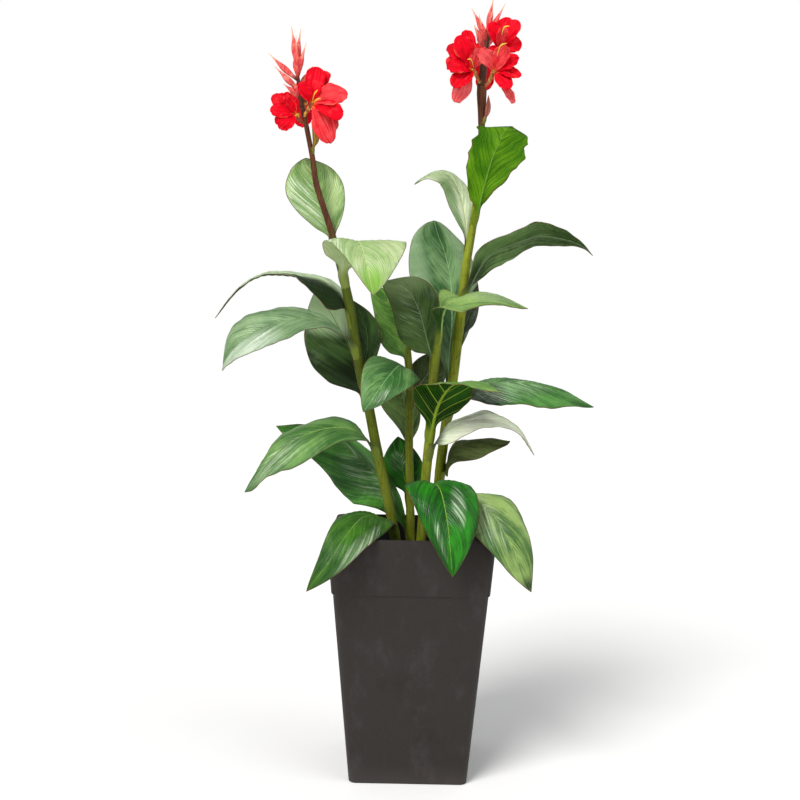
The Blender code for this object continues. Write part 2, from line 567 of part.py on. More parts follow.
def make_buds(name, head):
    bm = bmesh.new()
    tube(bm, [(Vector(row[:3]) * MM, row[3] * MM) for row in head["axis"]], 6)
    parts = [finish(bm, name + "_axis", BUD_COLOUR)]
    for k, (root, tip, size) in enumerate(head["buds"]):
        root, tip = Vector(root) * MM, Vector(tip) * MM
        shape = ((0, 0.35), (0.25, 0.55), (0.5, 1.0), (0.75, 0.75), (1, 0.12))
        rows = [(root.lerp(tip, t), size * MM * width) for t, width in shape]
        bm = bmesh.new()
        tube(bm, rows, 6)
        parts.append(finish(bm, f"{name}_{k}", BUD_COLOUR))
    return union(name, parts, BUD_COLOUR)


# Planter and soil
def rounded_prism(bm, half, z, corner):
    bmesh.ops.create_cube(bm, size=2, matrix=Matrix.Diagonal((half, half, 0.001, 1)))
    upright = [e for e in bm.edges if abs(e.verts[0].co.z - e.verts[1].co.z) > 0.001]
    bmesh.ops.bevel(bm, geom=upright, offset=corner, segments=4, profile=0.5, affect="EDGES")
    low = min(v.co.z for v in bm.verts)
    for v in bm.verts:
        v.co.z = z if v.co.z < low + 0.0005 else z + 0.001
    return max(bm.faces, key=lambda f: (f.calc_center_median().z, f.calc_area()))


def raise_face(bm, face, z, scale):
    made = bmesh.ops.extrude_face_region(bm, geom=[face])["geom"]
    if face.is_valid:
        bmesh.ops.delete(bm, geom=[face], context="FACES_ONLY")
    face = next(g for g in made if isinstance(g, bmesh.types.BMFace))
    set_face(face, z, scale)
    return face


def set_face(face, z, scale):
    for v in face.verts:
        v.co.x *= scale
        v.co.y *= scale
        v.co.z = z


def make_planter():
    bm = bmesh.new()
    face = rounded_prism(bm, PLANTER_HALF_BASE, 0, CORNER_RADIUS)
    set_face(face, BAND_BOTTOM - BAND_STEP, PLANTER_HALF_BODY / PLANTER_HALF_BASE)
    face = raise_face(bm, face, BAND_BOTTOM, PLANTER_HALF_BAND / PLANTER_HALF_BODY)
    face = raise_face(bm, face, PLANTER_HEIGHT, PLANTER_HALF_TOP / PLANTER_HALF_BAND)
    face = raise_face(bm, face, PLANTER_HEIGHT, (PLANTER_HALF_TOP - WALL) / PLANTER_HALF_TOP)
    inner_top = PLANTER_HALF_TOP - WALL
    inner_floor = PLANTER_HALF_BASE - WALL
    raise_face(bm, face, FLOOR, inner_floor / inner_top)
    return finish(bm, "planter", PLANTER_COLOUR, smooth=False)


def make_soil():
    inner_top = PLANTER_HALF_TOP - WALL
    inner_floor = PLANTER_HALF_BASE - WALL
    rise = (SOIL_TOP - FLOOR) / (PLANTER_HEIGHT - FLOOR)
    top = inner_floor + (inner_top - inner_floor) * rise
    bm = bmesh.new()
    face = rounded_prism(bm, PLANTER_HALF_BASE, 0, CORNER_RADIUS)
    for v in bm.verts:
        if v not in face.verts:
            v.co.z = FLOOR + GAP
            v.co.x *= (inner_floor - 2 * GAP) / PLANTER_HALF_BASE
            v.co.y *= (inner_floor - 2 * GAP) / PLANTER_HALF_BASE
    set_face(face, SOIL_TOP - 0.006, (top - 2 * GAP) / PLANTER_HALF_BASE)
    crumb = random.Random(5)
    for shrink, lift in ((0.90, 0.004), (0.86, 0.005), (0.84, 0.006), (0.80, 0.005), (0.72, 0.005)):
        face = raise_face(bm, face, SOIL_TOP, shrink)
        for v in face.verts:
            v.co.z += crumb.uniform(-lift, lift) * 0.5
    bmesh.ops.poke(bm, faces=[face])
    bmesh.ops.triangulate(bm, faces=bm.faces)
    soil = finish(bm, "soil", SOIL_COLOUR)
    cutters = []
    for name, rows in STEMS.items():
        bm = bmesh.new()
        tube(bm, [(Vector(r[:3]) * MM, r[3] * MM + 2 * GAP) for r in extended(rows)], 16)
        cutters.append(finish(bm, name + "_hole", SOIL_COLOUR))
    group = bpy.data.collections.new("holes")
    for obj in cutters:
        group.objects.link(obj)
    cut = soil.modifiers.new("holes", "BOOLEAN")
    cut.operation = "DIFFERENCE"
    cut.operand_type = "COLLECTION"
    cut.collection = group
    cut.solver = "EXACT"
    apply_modifiers(soil)
    drop(cutters)
    bpy.data.collections.remove(group)
    return soil


def extended(rows):
    """The part of a stem in the soil, run on a little below its foot and above the soil."""
    foot, second = rows[0], rows[1]
    below = (foot[0], foot[1], foot[2] - GAP / MM, foot[3])
    return [below, second, (rows[2][0], rows[2][1], rows[2][2], second[3])]


def make_stem(name, rows):
    bm = bmesh.new()
    tube(bm, [(Vector(r[:3]) * MM, r[3] * MM) for r in rows], 10)
    return finish(bm, name, STEM_COLOUR)


def main():
    for obj in list(bpy.data.objects):
        bpy.data.objects.remove(obj)
    make_planter()
    make_soil()
    for name, rows in STEMS.items():
        make_stem(name, rows)
    for name, leaf in LEAVES.items():
        make_leaf(name, leaf)
    for name, head in HEADS.items():
        make_buds(name, head)
    for name, bloom in BLOOMS.items():
        make_bloom(name, bloom)


main()
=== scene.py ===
"""Dresses a potted canna lily: waved and veined leaves, layered blooms, stems, soil and planter."""

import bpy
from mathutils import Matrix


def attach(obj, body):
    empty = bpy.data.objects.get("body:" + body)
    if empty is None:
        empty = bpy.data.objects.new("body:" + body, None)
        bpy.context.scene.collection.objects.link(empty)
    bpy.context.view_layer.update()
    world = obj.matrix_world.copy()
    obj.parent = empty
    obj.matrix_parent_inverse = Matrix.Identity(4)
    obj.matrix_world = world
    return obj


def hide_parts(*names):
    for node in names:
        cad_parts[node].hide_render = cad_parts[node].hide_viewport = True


bl_info = {
    "name": "Canna Lily in a Planter",
    "version": (1, 0, 0),
    "blender": (4, 5, 0),
    "location": "3D View > Sidebar > Canna",
    "description": "Grows a potted canna lily leaf by leaf and bloom by bloom",
    "category": "Add Mesh",
}

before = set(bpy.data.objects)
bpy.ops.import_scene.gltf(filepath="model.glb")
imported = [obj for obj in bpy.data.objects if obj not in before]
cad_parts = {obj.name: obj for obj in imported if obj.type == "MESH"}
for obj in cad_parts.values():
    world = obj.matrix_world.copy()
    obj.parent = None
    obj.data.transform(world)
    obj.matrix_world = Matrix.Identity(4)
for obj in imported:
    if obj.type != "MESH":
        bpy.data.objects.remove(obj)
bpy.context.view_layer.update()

import math
import random

import bmesh
import bpy
from bpy.props import FloatProperty, FloatVectorProperty, IntProperty, PointerProperty
from mathutils import Matrix, Vector, noise

# Sizes are in metres, unless a comment says otherwise
MM = 0.001

# Planter
PLANTER_HALF_TOP = 0.175
PLANTER_HALF_BAND = 0.165
PLANTER_HALF_BODY = 0.1618
PLANTER_HALF_BASE = 0.125
PLANTER_HEIGHT = 0.525
BAND_BOTTOM = 0.408
BAND_STEP = 0.0025
WALL = 0.007
FLOOR = 0.008
CORNER_RADIUS = 0.016
CORNER_SEGMENTS = 10
EDGE_SEGMENTS = 3
FOLD_ANGLE = math.radians(40)
FLAT_ANGLE = math.radians(32)
FIRST_SLICE = 0.001

# Soil: a lumpy surface that rises a little to each stem, with loose crumbs on it
SOIL_TOP = 0.446
SOIL_GAP = 0.0006
SOIL_CELLS = 120
SOIL_CORNER = 0.012
SOIL_SINK = 0.006
SOIL_LUMP = 0.0045
SOIL_LUMPS_PER_METRE = 24
COLLAR_HEIGHT = 0.004
COLLAR_REACH = 0.018
CRUMB_SEED = 8
CRUMB_SIZES = (0.0010, 0.0034)
CRUMB_SPREAD = 0.965
CRUMB_CLEARANCE = 0.004

# Stems: a sheath's edge slopes down from its leaf to the far side of the stem
STEM_ROW = 5  # millimetres between two rows of faces
STEM_EASE = 3  # rows to each side over which a bend is eased
SHEATH_SLOPE = 0.060
SHEATH_EDGE = 0.0030
SHEATH_LENGTH = 0.09
BROWN_FROM = {"stem_left": (1.120, 1.190), "stem_right": (1.372, 1.420)}
NEVER_BROWN = (9.0, 10.0)
PALE_FOOT = {"stem_left": (0.44, 0.53)}
USUAL_PALE_FOOT = (0.40, 0.47)
# How strongly each stem is painted darker green as shade, the more so higher up among the leaves
STEM_PAINTED_SHADE = {"stem_left": 0.85, "stem_centre": 0.45, "stem_young": 0.40, "stem_right": 0.0}

# Leaves
BLADE = 0.0011
SHEATH_ROOM = 0.0022
FOOT_SUNK = 0.0010
FOOT_WRAP = 80  # degrees to each side
FOOT_JOIN = 0.18  # share of the blade over which its foot opens
OUTLINE_POWER = 0.85
LEAST_WIDTH_BASE = 0.035
LEAST_WIDTH_TIP = 0.010
VEIN_SLANT = 0.40
VEIN_CURVE = 1.15
FINE_VEIN_GAP = 0.0055
PLEAT_LENGTH = 0.017
LUMP_HEIGHT = 0.0014
MARGIN_LUMP_HEIGHT = 0.0038
LUMPS_FROM = 0.006  # half widths at which the pleats and lumps begin and have their full height
FULL_LUMPS = 0.03
RIB_HALF = {"upper": 0.0022, "under": 0.0034}
RIB_RIDGE_HALF = 0.0024
MARGIN_WIDTH = 0.0019
BRACT_RIB = 0.0016
BRACT_ROWS, BRACT_COLUMNS = 36, 12

# Blooms and buds
PETAL_ROWS, PETAL_COLUMNS = 26, 18
PETAL_PEAK = 0.62  # share of a petal's length at which it is widest
PETAL_LEAST_HALF = 2.2  # millimetres
PETAL_TWIST = 14  # degrees
TUBE_ROWS, TUBE_SIDES = 13, 14
TUBE_THIN = 0.0028
TUBE_FLARE = 0.0048
TUBE_INSIDE = 0.15  # share of the tube's length by which it reaches into the throat
STAMEN_SIDES = 8
STAMEN_SHAPE = (0.6, 0.7, 0.8, 0.9, 1.0, 1.1, 1.2, 1.5, 1.9, 2.1, 1.6, 0.4)
AXIS_ROWS, AXIS_SIDES = 30, 16
BUD_ROWS, BUD_SIDES = 22, 15
BUD_BEND = 0.0022

# The photograph's camera: its place, its tilt down, turn and roll in radians, and its focal length
# and sensor width in millimetres
CAMERA_PLACE = (-0.0132, -2.1793, 0.8869)
CAMERA_PITCH = 0.0373
CAMERA_YAW = 0.0077
CAMERA_ROLL = 0.0167
CAMERA_LENS = 44.505
CAMERA_SENSOR = 36.0

# The floor under the planter, and where each light stands, its spread in degrees and its colour
FLOOR_RADIUS = 30
FLOOR_DROP = 0.0005
LIGHTS = {
    "key": ((-0.46, -0.66, 0.74), 30, (1.0, 0.99, 0.96)),
    "fill": ((0.80, -0.45, 0.45), 50, (0.97, 0.99, 1.0)),
}

# Paints, in the 0 to 255 steps of a screen
PAINTS = {
    # The pale leaf paint is for painted highlights
    "leaf_painted_highlight": (240, 250, 244), "leaf_margin": (118, 62, 50), "leaf_foot": (122, 136, 42),
    # The deep stem green is painted shade
    "stem_shade": (84, 96, 26), "stem_light": (146, 156, 50), "stem_painted_shade": (52, 66, 8),
    "stem_spot": (46, 42, 16), "stem_band": (92, 62, 24), "stem_lip": (96, 70, 36),
    "stem_foot": (178, 186, 120), "stalk_shade": (66, 34, 24),
    # The deep fold red is painted shade
    "petal_bright": (240, 26, 44), "petal_fold_shade": (184, 0, 22), "petal_sheen": (244, 92, 96),
    "petal_pale": (244, 132, 130), "petal_edge": (250, 170, 120),
    "bud_shade": (198, 54, 60), "bud_tip": (250, 208, 170), "bud_light": (240, 160, 140),
    "bud_root": (92, 40, 30), "bud_axis": (72, 42, 28),
    "cup_shade": (150, 66, 40), "cup_light": (214, 176, 66), "cup_stain": (128, 44, 34),
    "stamen_shade": (214, 150, 20), "stamen_light": (252, 224, 90),
    "planter_shade": (38, 33, 31), "planter_smudge": (64, 58, 60), "planter_stain": (20, 16, 14),
    # The inside paint is painted shade for the planter's inner wall and floor
    "planter_fleck": (92, 86, 82), "planter_inside_shade": (10, 8, 7), "planter_foot": (74, 68, 66),
    "soil_shade": (34, 25, 19), "soil_light": (74, 56, 42), "soil_fleck": (112, 92, 70),
}

# Each stem's centre line and radius, in millimetres, from the soil up
STEMS = {
    "stem_left": [
        (-20, 2, 368, 11), (-26, 1, 430, 11), (-34, 0, 495, 11), (-53, 0, 584, 11),
        (-72, 0, 663, 11), (-84, 0, 716, 10.5), (-96, 0, 776, 10.5), (-110, 0, 837, 10.5),
        (-124, 0, 895, 10), (-139, 0, 991, 10), (-160, 0, 1078, 9), (-183, 0, 1161, 7.5),
        (-201, 0, 1215, 6.5), (-222, 0, 1276, 6), (-231, 0, 1336, 5.5), (-245, 0, 1403, 5.5),
        (-254, 0, 1440, 5),
    ],
    "stem_centre": [
        (6, 48, 368, 9.5), (2, 50, 430, 9.5), (-1, 50, 500, 9.5), (-4, 50, 578, 9),
        (-8, 50, 691, 8.5), (-9, 50, 804, 8), (-10, 50, 872, 7.5), (-14, 50, 922, 6),
    ],
    "stem_young": [
        (14, -34, 368, 10), (17, -38, 430, 10), (21, -40, 503, 10), (28, -40, 630, 10),
        (35, -40, 721, 10), (38, -40, 808, 9.5), (43, -40, 873, 9), (50, -40, 936, 7.5),
        (53, -40, 958, 5.5),
    ],
    "stem_right": [
        (50, 16, 368, 11), (53, 18, 430, 11), (56, 20, 493, 11), (59, 20, 623, 11),
        (71, 20, 740, 10.5), (81, 20, 807, 10.5), (89, 20, 874, 10.5), (102, 20, 1007, 10.5),
        (111, 20, 1106, 9), (123, 20, 1183, 8), (132, 20, 1249, 8), (138, 20, 1330, 8),
        (139, 20, 1400, 6.5), (139, 20, 1450, 9), (138, 20, 1478, 11), (138, 20, 1497, 10.5),
    ],
}

# Each leaf, in millimetres, with left and right as seen along the leaf with its upper face up: its
# stem, the heights of its sheath, its midrib after the sheath, the left and right half widths near
# the base and near the tip, where it is widest, its hollow across, and its waves as height, number
# and seed. A few also have the direction out of the stem (out), where the half widths turn from
# the first to the second (turn), the power of the outline near the tip (blunt), its narrowing
# there (taper) or the degrees that the foot reaches round the stem (wrap).
LEAVES = {
    "leaf_left_upright": dict(
        stem="stem_left", foot=(1118, 1150),
        rib=[(-191, 20, 1176), (-210, 40, 1240), (-228, 55, 1305), (-250, 50, 1342)],
        left=[(-84, -10, 4), (-76, -6, 10)], right=[(56, -12, 18), (50, -14, 18)],
        peak=0.58, cup=5, wave=(3, 2.0, 1)),
    "leaf_left_pale": dict(
        stem="stem_left", foot=(1042, 1080),
        rib=[(-143, -42, 1120), (-123, -100, 1141), (-104, -160, 1096), (-86, -186, 1022)],
        left=[(100, 2, -4), (98, 0, 0)], right=[(-70, 0, 2), (-56, 0, 4)],
        peak=0.42, cup=4, wave=(2, 1.5, 2)),
    "leaf_left_arching": dict(
        stem="stem_left", foot=(950, 988),
        rib=[(-163, 5, 1030), (-200, 10, 1062), (-256, 20, 1074), (-336, 30, 1077),
             (-392, 35, 1048),
             (-447, 35, 981)],
        left=[(-8, -42, -56), (2, -40, -3)], right=[(4, 50, 14), (4, 44, 12)],
        peak=0.34, cup=4, turn=(0.20, 0.42), wave=(2, 2.5, 3)),
    "leaf_left_glossy": dict(
        stem="stem_left", foot=(886, 918), out=(-0.85, -0.5),
        rib=[(-156, -24, 948), (-200, -48, 974), (-267, -70, 975), (-332, -85, 952),
             (-376, -90, 918),
             (-404, -95, 873)],
        left=[(-4, -40, -20), (-8, -40, -48)], right=[(4, 46, 18), (-12, 44, 40)],
        peak=0.62, blunt=0.5, cup=7, turn=(0.20, 0.45), wave=(3, 2.0, 4)),
    "leaf_left_broad": dict(
        stem="stem_left", foot=(770, 806),
        rib=[(-127, 38, 850), (-145, 66, 914), (-178, 80, 975), (-205, 86, 1021), (-223, 84, 1056)],
        left=[(-104, -12, -8), (-84, -6, -16)], right=[(52, -6, 4), (54, -6, 20)],
        peak=0.48, cup=7, wave=(4, 2.5, 5)),
    "leaf_left_behind": dict(
        stem="stem_left", foot=(815, 850),
        rib=[(-109, 26, 890), (-104, 30, 938), (-117, 33, 987), (-138, 34, 1024)],
        left=[(-34, 3, -6), (-30, 2, -8)], right=[(30, -4, 10), (30, -4, 14)],
        peak=0.45, cup=3, wave=(2, 2.5, 6)),
    "leaf_centre_drooping": dict(
        stem="stem_centre", foot=(820, 850),
        rib=[(-14, 18, 872), (-34, -12, 880), (-55, -50, 858), (-76, -72, 828), (-107, -90, 782)],
        left=[(46, -14, -36), (30, -10, -30)], right=[(-58, 8, 22), (-52, 6, 26)],
        peak=0.46, cup=5, wave=(2, 2.0, 7)),
    "leaf_young_broad": dict(
        stem="stem_young", foot=(856, 892),
        rib=[(27, -16, 938), (6, 0, 1010), (-25, 10, 1053), (-74, 15, 1066)],
        left=[(-58, 10, -32), (-42, 4, -52)], right=[(44, -4, 18), (40, 0, 34)],
        peak=0.52, cup=6, wave=(3, 2.5, 8)),
    "leaf_centre_upright": dict(
        stem="stem_centre", foot=(858, 890),
        rib=[(-28, 66, 928), (-40, 66, 983), (-66, 66, 1028), (-100, 60, 1057)],
        left=[(-50, -10, -22), (-40, -10, -30)], right=[(50, 8, 20), (40, 6, 30)],
        peak=0.50, cup=5, wave=(2.5, 2.5, 9)),
    "leaf_right_tall": dict(
        stem="stem_right", foot=(800, 830),
        rib=[(78, 52, 890), (84, 66, 986), (80, 84, 1077), (66, 92, 1141), (50, 94, 1180),
             (40, 90, 1213)],
        left=[(-84, -14, -6), (-92, -10, -4)], right=[(74, -6, 4), (58, -8, 6)],
        peak=0.66, blunt=0.6, cup=8, wave=(4, 2.5, 10)),
    "leaf_young_bright": dict(
        stem="stem_young", foot=(922, 948),
        rib=[(62, -54, 998), (84, -66, 1020), (126, -82, 1036), (177, -98, 1030),
             (235, -106, 1005)],
        left=[(-14, 28, 74), (2, 36, 4)], right=[(-36, -22, 14), (0, -30, -32)],
        peak=0.42, cup=3, turn=(0.16, 0.40), wave=(2, 2.0, 11)),
    "leaf_right_narrow": dict(
        stem="stem_right", foot=(918, 946), out=(0.3, 1.0),
        rib=[(119, 46, 988), (131, 56, 1028), (141, 62, 1068)],
        left=[(-14, 6, 10), (-12, 4, 8)], right=[(18, -4, -8), (15, -4, -6)],
        peak=0.50, cup=2, wave=(2, 2.0, 12)),
    "leaf_right_long": dict(
        stem="stem_right", foot=(1008, 1040),
        rib=[(136, -4, 1089), (163, -18, 1128), (210, -28, 1148), (262, -36, 1165),
             (320, -42, 1158),
             (356, -46, 1144), (378, -48, 1124)],
        left=[(14, 46, -28), (4, 46, -20)], right=[(-28, -24, 10), (-4, -34, 30)],
        peak=0.48, cup=5, turn=(0.35, 0.60), taper=0.4, wave=(3, 2.5, 13)),
    "leaf_right_nodding": dict(
        stem="stem_right", foot=(1120, 1152),
        rib=[(108, 42, 1215), (96, 58, 1270), (71, 68, 1312), (33, 74, 1316), (-4, 72, 1294)],
        left=[(-50, -6, 14), (-20, -34, -26)], right=[(30, -8, 22), (8, 30, 8)],
        peak=0.58, blunt=0.5, cup=4, wave=(2, 2.5, 14)),
    "leaf_right_top": dict(
        stem="stem_right", foot=(1185, 1216),
        rib=[(143, 4, 1262), (161, -8, 1331), (181, -10, 1378), (194, 2, 1402), (206, 24, 1412)],
        left=[(26, 2, -22), (62, 8, -32)], right=[(-46, -4, -8), (-62, 0, 2)],
        peak=0.5, blunt=0.35, cup=4, wave=(3, 2.5, 15)),
    "leaf_right_outer": dict(
        stem="stem_right", foot=(748, 782), out=(0.82, -0.55),
        rib=[(108, -5, 824), (145, -20, 842), (198, -34, 849), (261, -46, 845), (324, -55, 827),
             (386, -60, 800)],
        left=[(6, 54, 10), (4, 50, 4)], right=[(-2, -40, -24), (0, -38, -50)],
        peak=0.44, blunt=0.8, cup=7, turn=(0.15, 0.40), wave=(5, 2.5, 16)),
    "leaf_young_veined": dict(
        stem="stem_young", foot=(708, 742),
        rib=[(50, -75, 792), (67, -102, 828), (86, -134, 845), (122, -178, 848), (172, -214, 832)],
        left=[(68, 24, 4), (30, 40, 4)], right=[(-62, -24, 20), (-34, -44, -8)],
        peak=0.42, cup=4, wave=(4, 2.5, 17)),
    "leaf_young_slender": dict(
        stem="stem_young", foot=(668, 700),
        rib=[(65, -52, 736), (106, -62, 762), (165, -72, 768), (218, -78, 748), (258, -82, 696)],
        left=[(6, 42, 14), (8, 38, 16)], right=[(-8, -36, -34), (-2, -32, -4)],
        peak=0.40, cup=4, wave=(3, 2.5, 18)),
    "leaf_right_striped": dict(
        stem="stem_right", foot=(616, 648), out=(1.0, -0.1),
        rib=[(84, -6, 684), (108, -14, 710), (157, -22, 722), (212, -27, 721)],
        left=[(4, 30, 14), (2, 30, 0)], right=[(-10, -24, -38), (0, -20, -44)],
        peak=0.34, blunt=0.6, cup=4, wave=(5, 2.0, 19)),
    "leaf_centre_pale": dict(
        stem="stem_centre", foot=(776, 806), out=(0.2, 1.0),
        rib=[(14, 74, 838), (44, 84, 880), (72, 88, 905), (92, 88, 914)],
        left=[(-34, 0, 30), (-24, 0, 26)], right=[(38, -4, -32), (30, -4, -20)],
        peak=0.48, cup=3, wave=(2, 2.0, 20)),
    "leaf_centre_behind": dict(
        stem="stem_centre", foot=(656, 690),
        rib=[(-14, 80, 746), (-24, 90, 796), (-40, 94, 842)],
        left=[(-34, -8, 0), (-52, -8, -4)], right=[(44, -10, -4), (32, -8, 6)],
        peak=0.64, cup=4, wave=(4, 2.0, 21)),
    "leaf_left_low": dict(
        stem="stem_left", foot=(664, 698), out=(-0.80, -0.52),
        rib=[(-116, -30, 730), (-152, -45, 745), (-205, -60, 739), (-257, -70, 716),
             (-309, -76, 672),
             (-358, -78, 606)],
        left=[(-2, -42, -30), (-10, -40, -58)], right=[(2, 52, 24), (-10, 44, 22)],
        peak=0.50, cup=7, turn=(0.15, 0.40), wave=(5, 2.5, 22)),
    "leaf_centre_low": dict(
        stem="stem_centre", foot=(470, 500), out=(-0.9, 0.4),
        rib=[(-33, 48, 562), (-62, 38, 613), (-113, 42, 663), (-171, 46, 706), (-244, 52, 730),
             (-310, 56, 740)],
        left=[(-26, -16, -22), (-40, -28, -70)], right=[(10, 12, 30), (8, 36, 26)],
        peak=0.42, cup=5, turn=(0.15, 0.40), wave=(5, 2.5, 23)),
    "leaf_centre_inner": dict(
        stem="stem_centre", foot=(556, 586),
        rib=[(-17, 80, 622), (-26, 90, 662), (-34, 92, 718)],
        left=[(-50, -8, 0), (-42, -8, 0)], right=[(50, -8, 8), (44, -8, 10)],
        peak=0.50, cup=4, wave=(3, 2.0, 24)),
    "leaf_planter_left": dict(
        stem="stem_left", foot=(486, 520),
        rib=[(-73, -60, 556), (-104, -130, 563), (-134, -198, 536), (-168, -224, 484),
             (-208, -230, 430)],
        left=[(52, -26, -22), (42, -8, -30)], right=[(-40, 26, 4), (-36, 6, 14)],
        peak=0.46, cup=6, wave=(4, 2.0, 25)),
    "leaf_planter_front": dict(
        stem="stem_young", foot=(560, 594),
        rib=[(36, -88, 622), (46, -132, 637), (58, -185, 626), (69, -226, 577), (76, -242, 520),
             (81, -246, 468)],
        left=[(60, 6, 2), (74, 10, 12)], right=[(-56, 4, -2), (-58, 8, 6)],
        peak=0.50, cup=10, wave=(3, 2.0, 26)),
    "leaf_planter_right": dict(
        stem="stem_right", foot=(520, 554),
        rib=[(93, -45, 594), (128, -105, 606), (160, -162, 585), (185, -192, 551), (210, -208, 506),
             (241, -212, 433)],
        left=[(56, 26, 4), (50, 14, 18)], right=[(-44, -20, -34), (-46, -14, -30)],
        peak=0.50, cup=7, wave=(5, 3.0, 27)),
    "bract_left": dict(
        stem="stem_left", foot=(1338, 1352),
        rib=[(-224, -8, 1368), (-226, -12, 1388), (-232, -14, 1408)],
        left=[(9, 1, 0), (8, 1, 0)], right=[(-6, -1, 0), (-5, -1, 0)],
        peak=0.45, cup=1, wrap=38, wave=(0.5, 1.0, 28)),
    "bract_right": dict(
        stem="stem_right", foot=(1412, 1426),
        rib=[(150, 10, 1438), (152, 6, 1456), (152, 4, 1474)],
        left=[(7, 3, 0), (6, 3, 0)], right=[(-6, -3, 0), (-5, -3, 0)],
        peak=0.45, cup=1, wrap=38, wave=(0.5, 1.0, 29)),
}
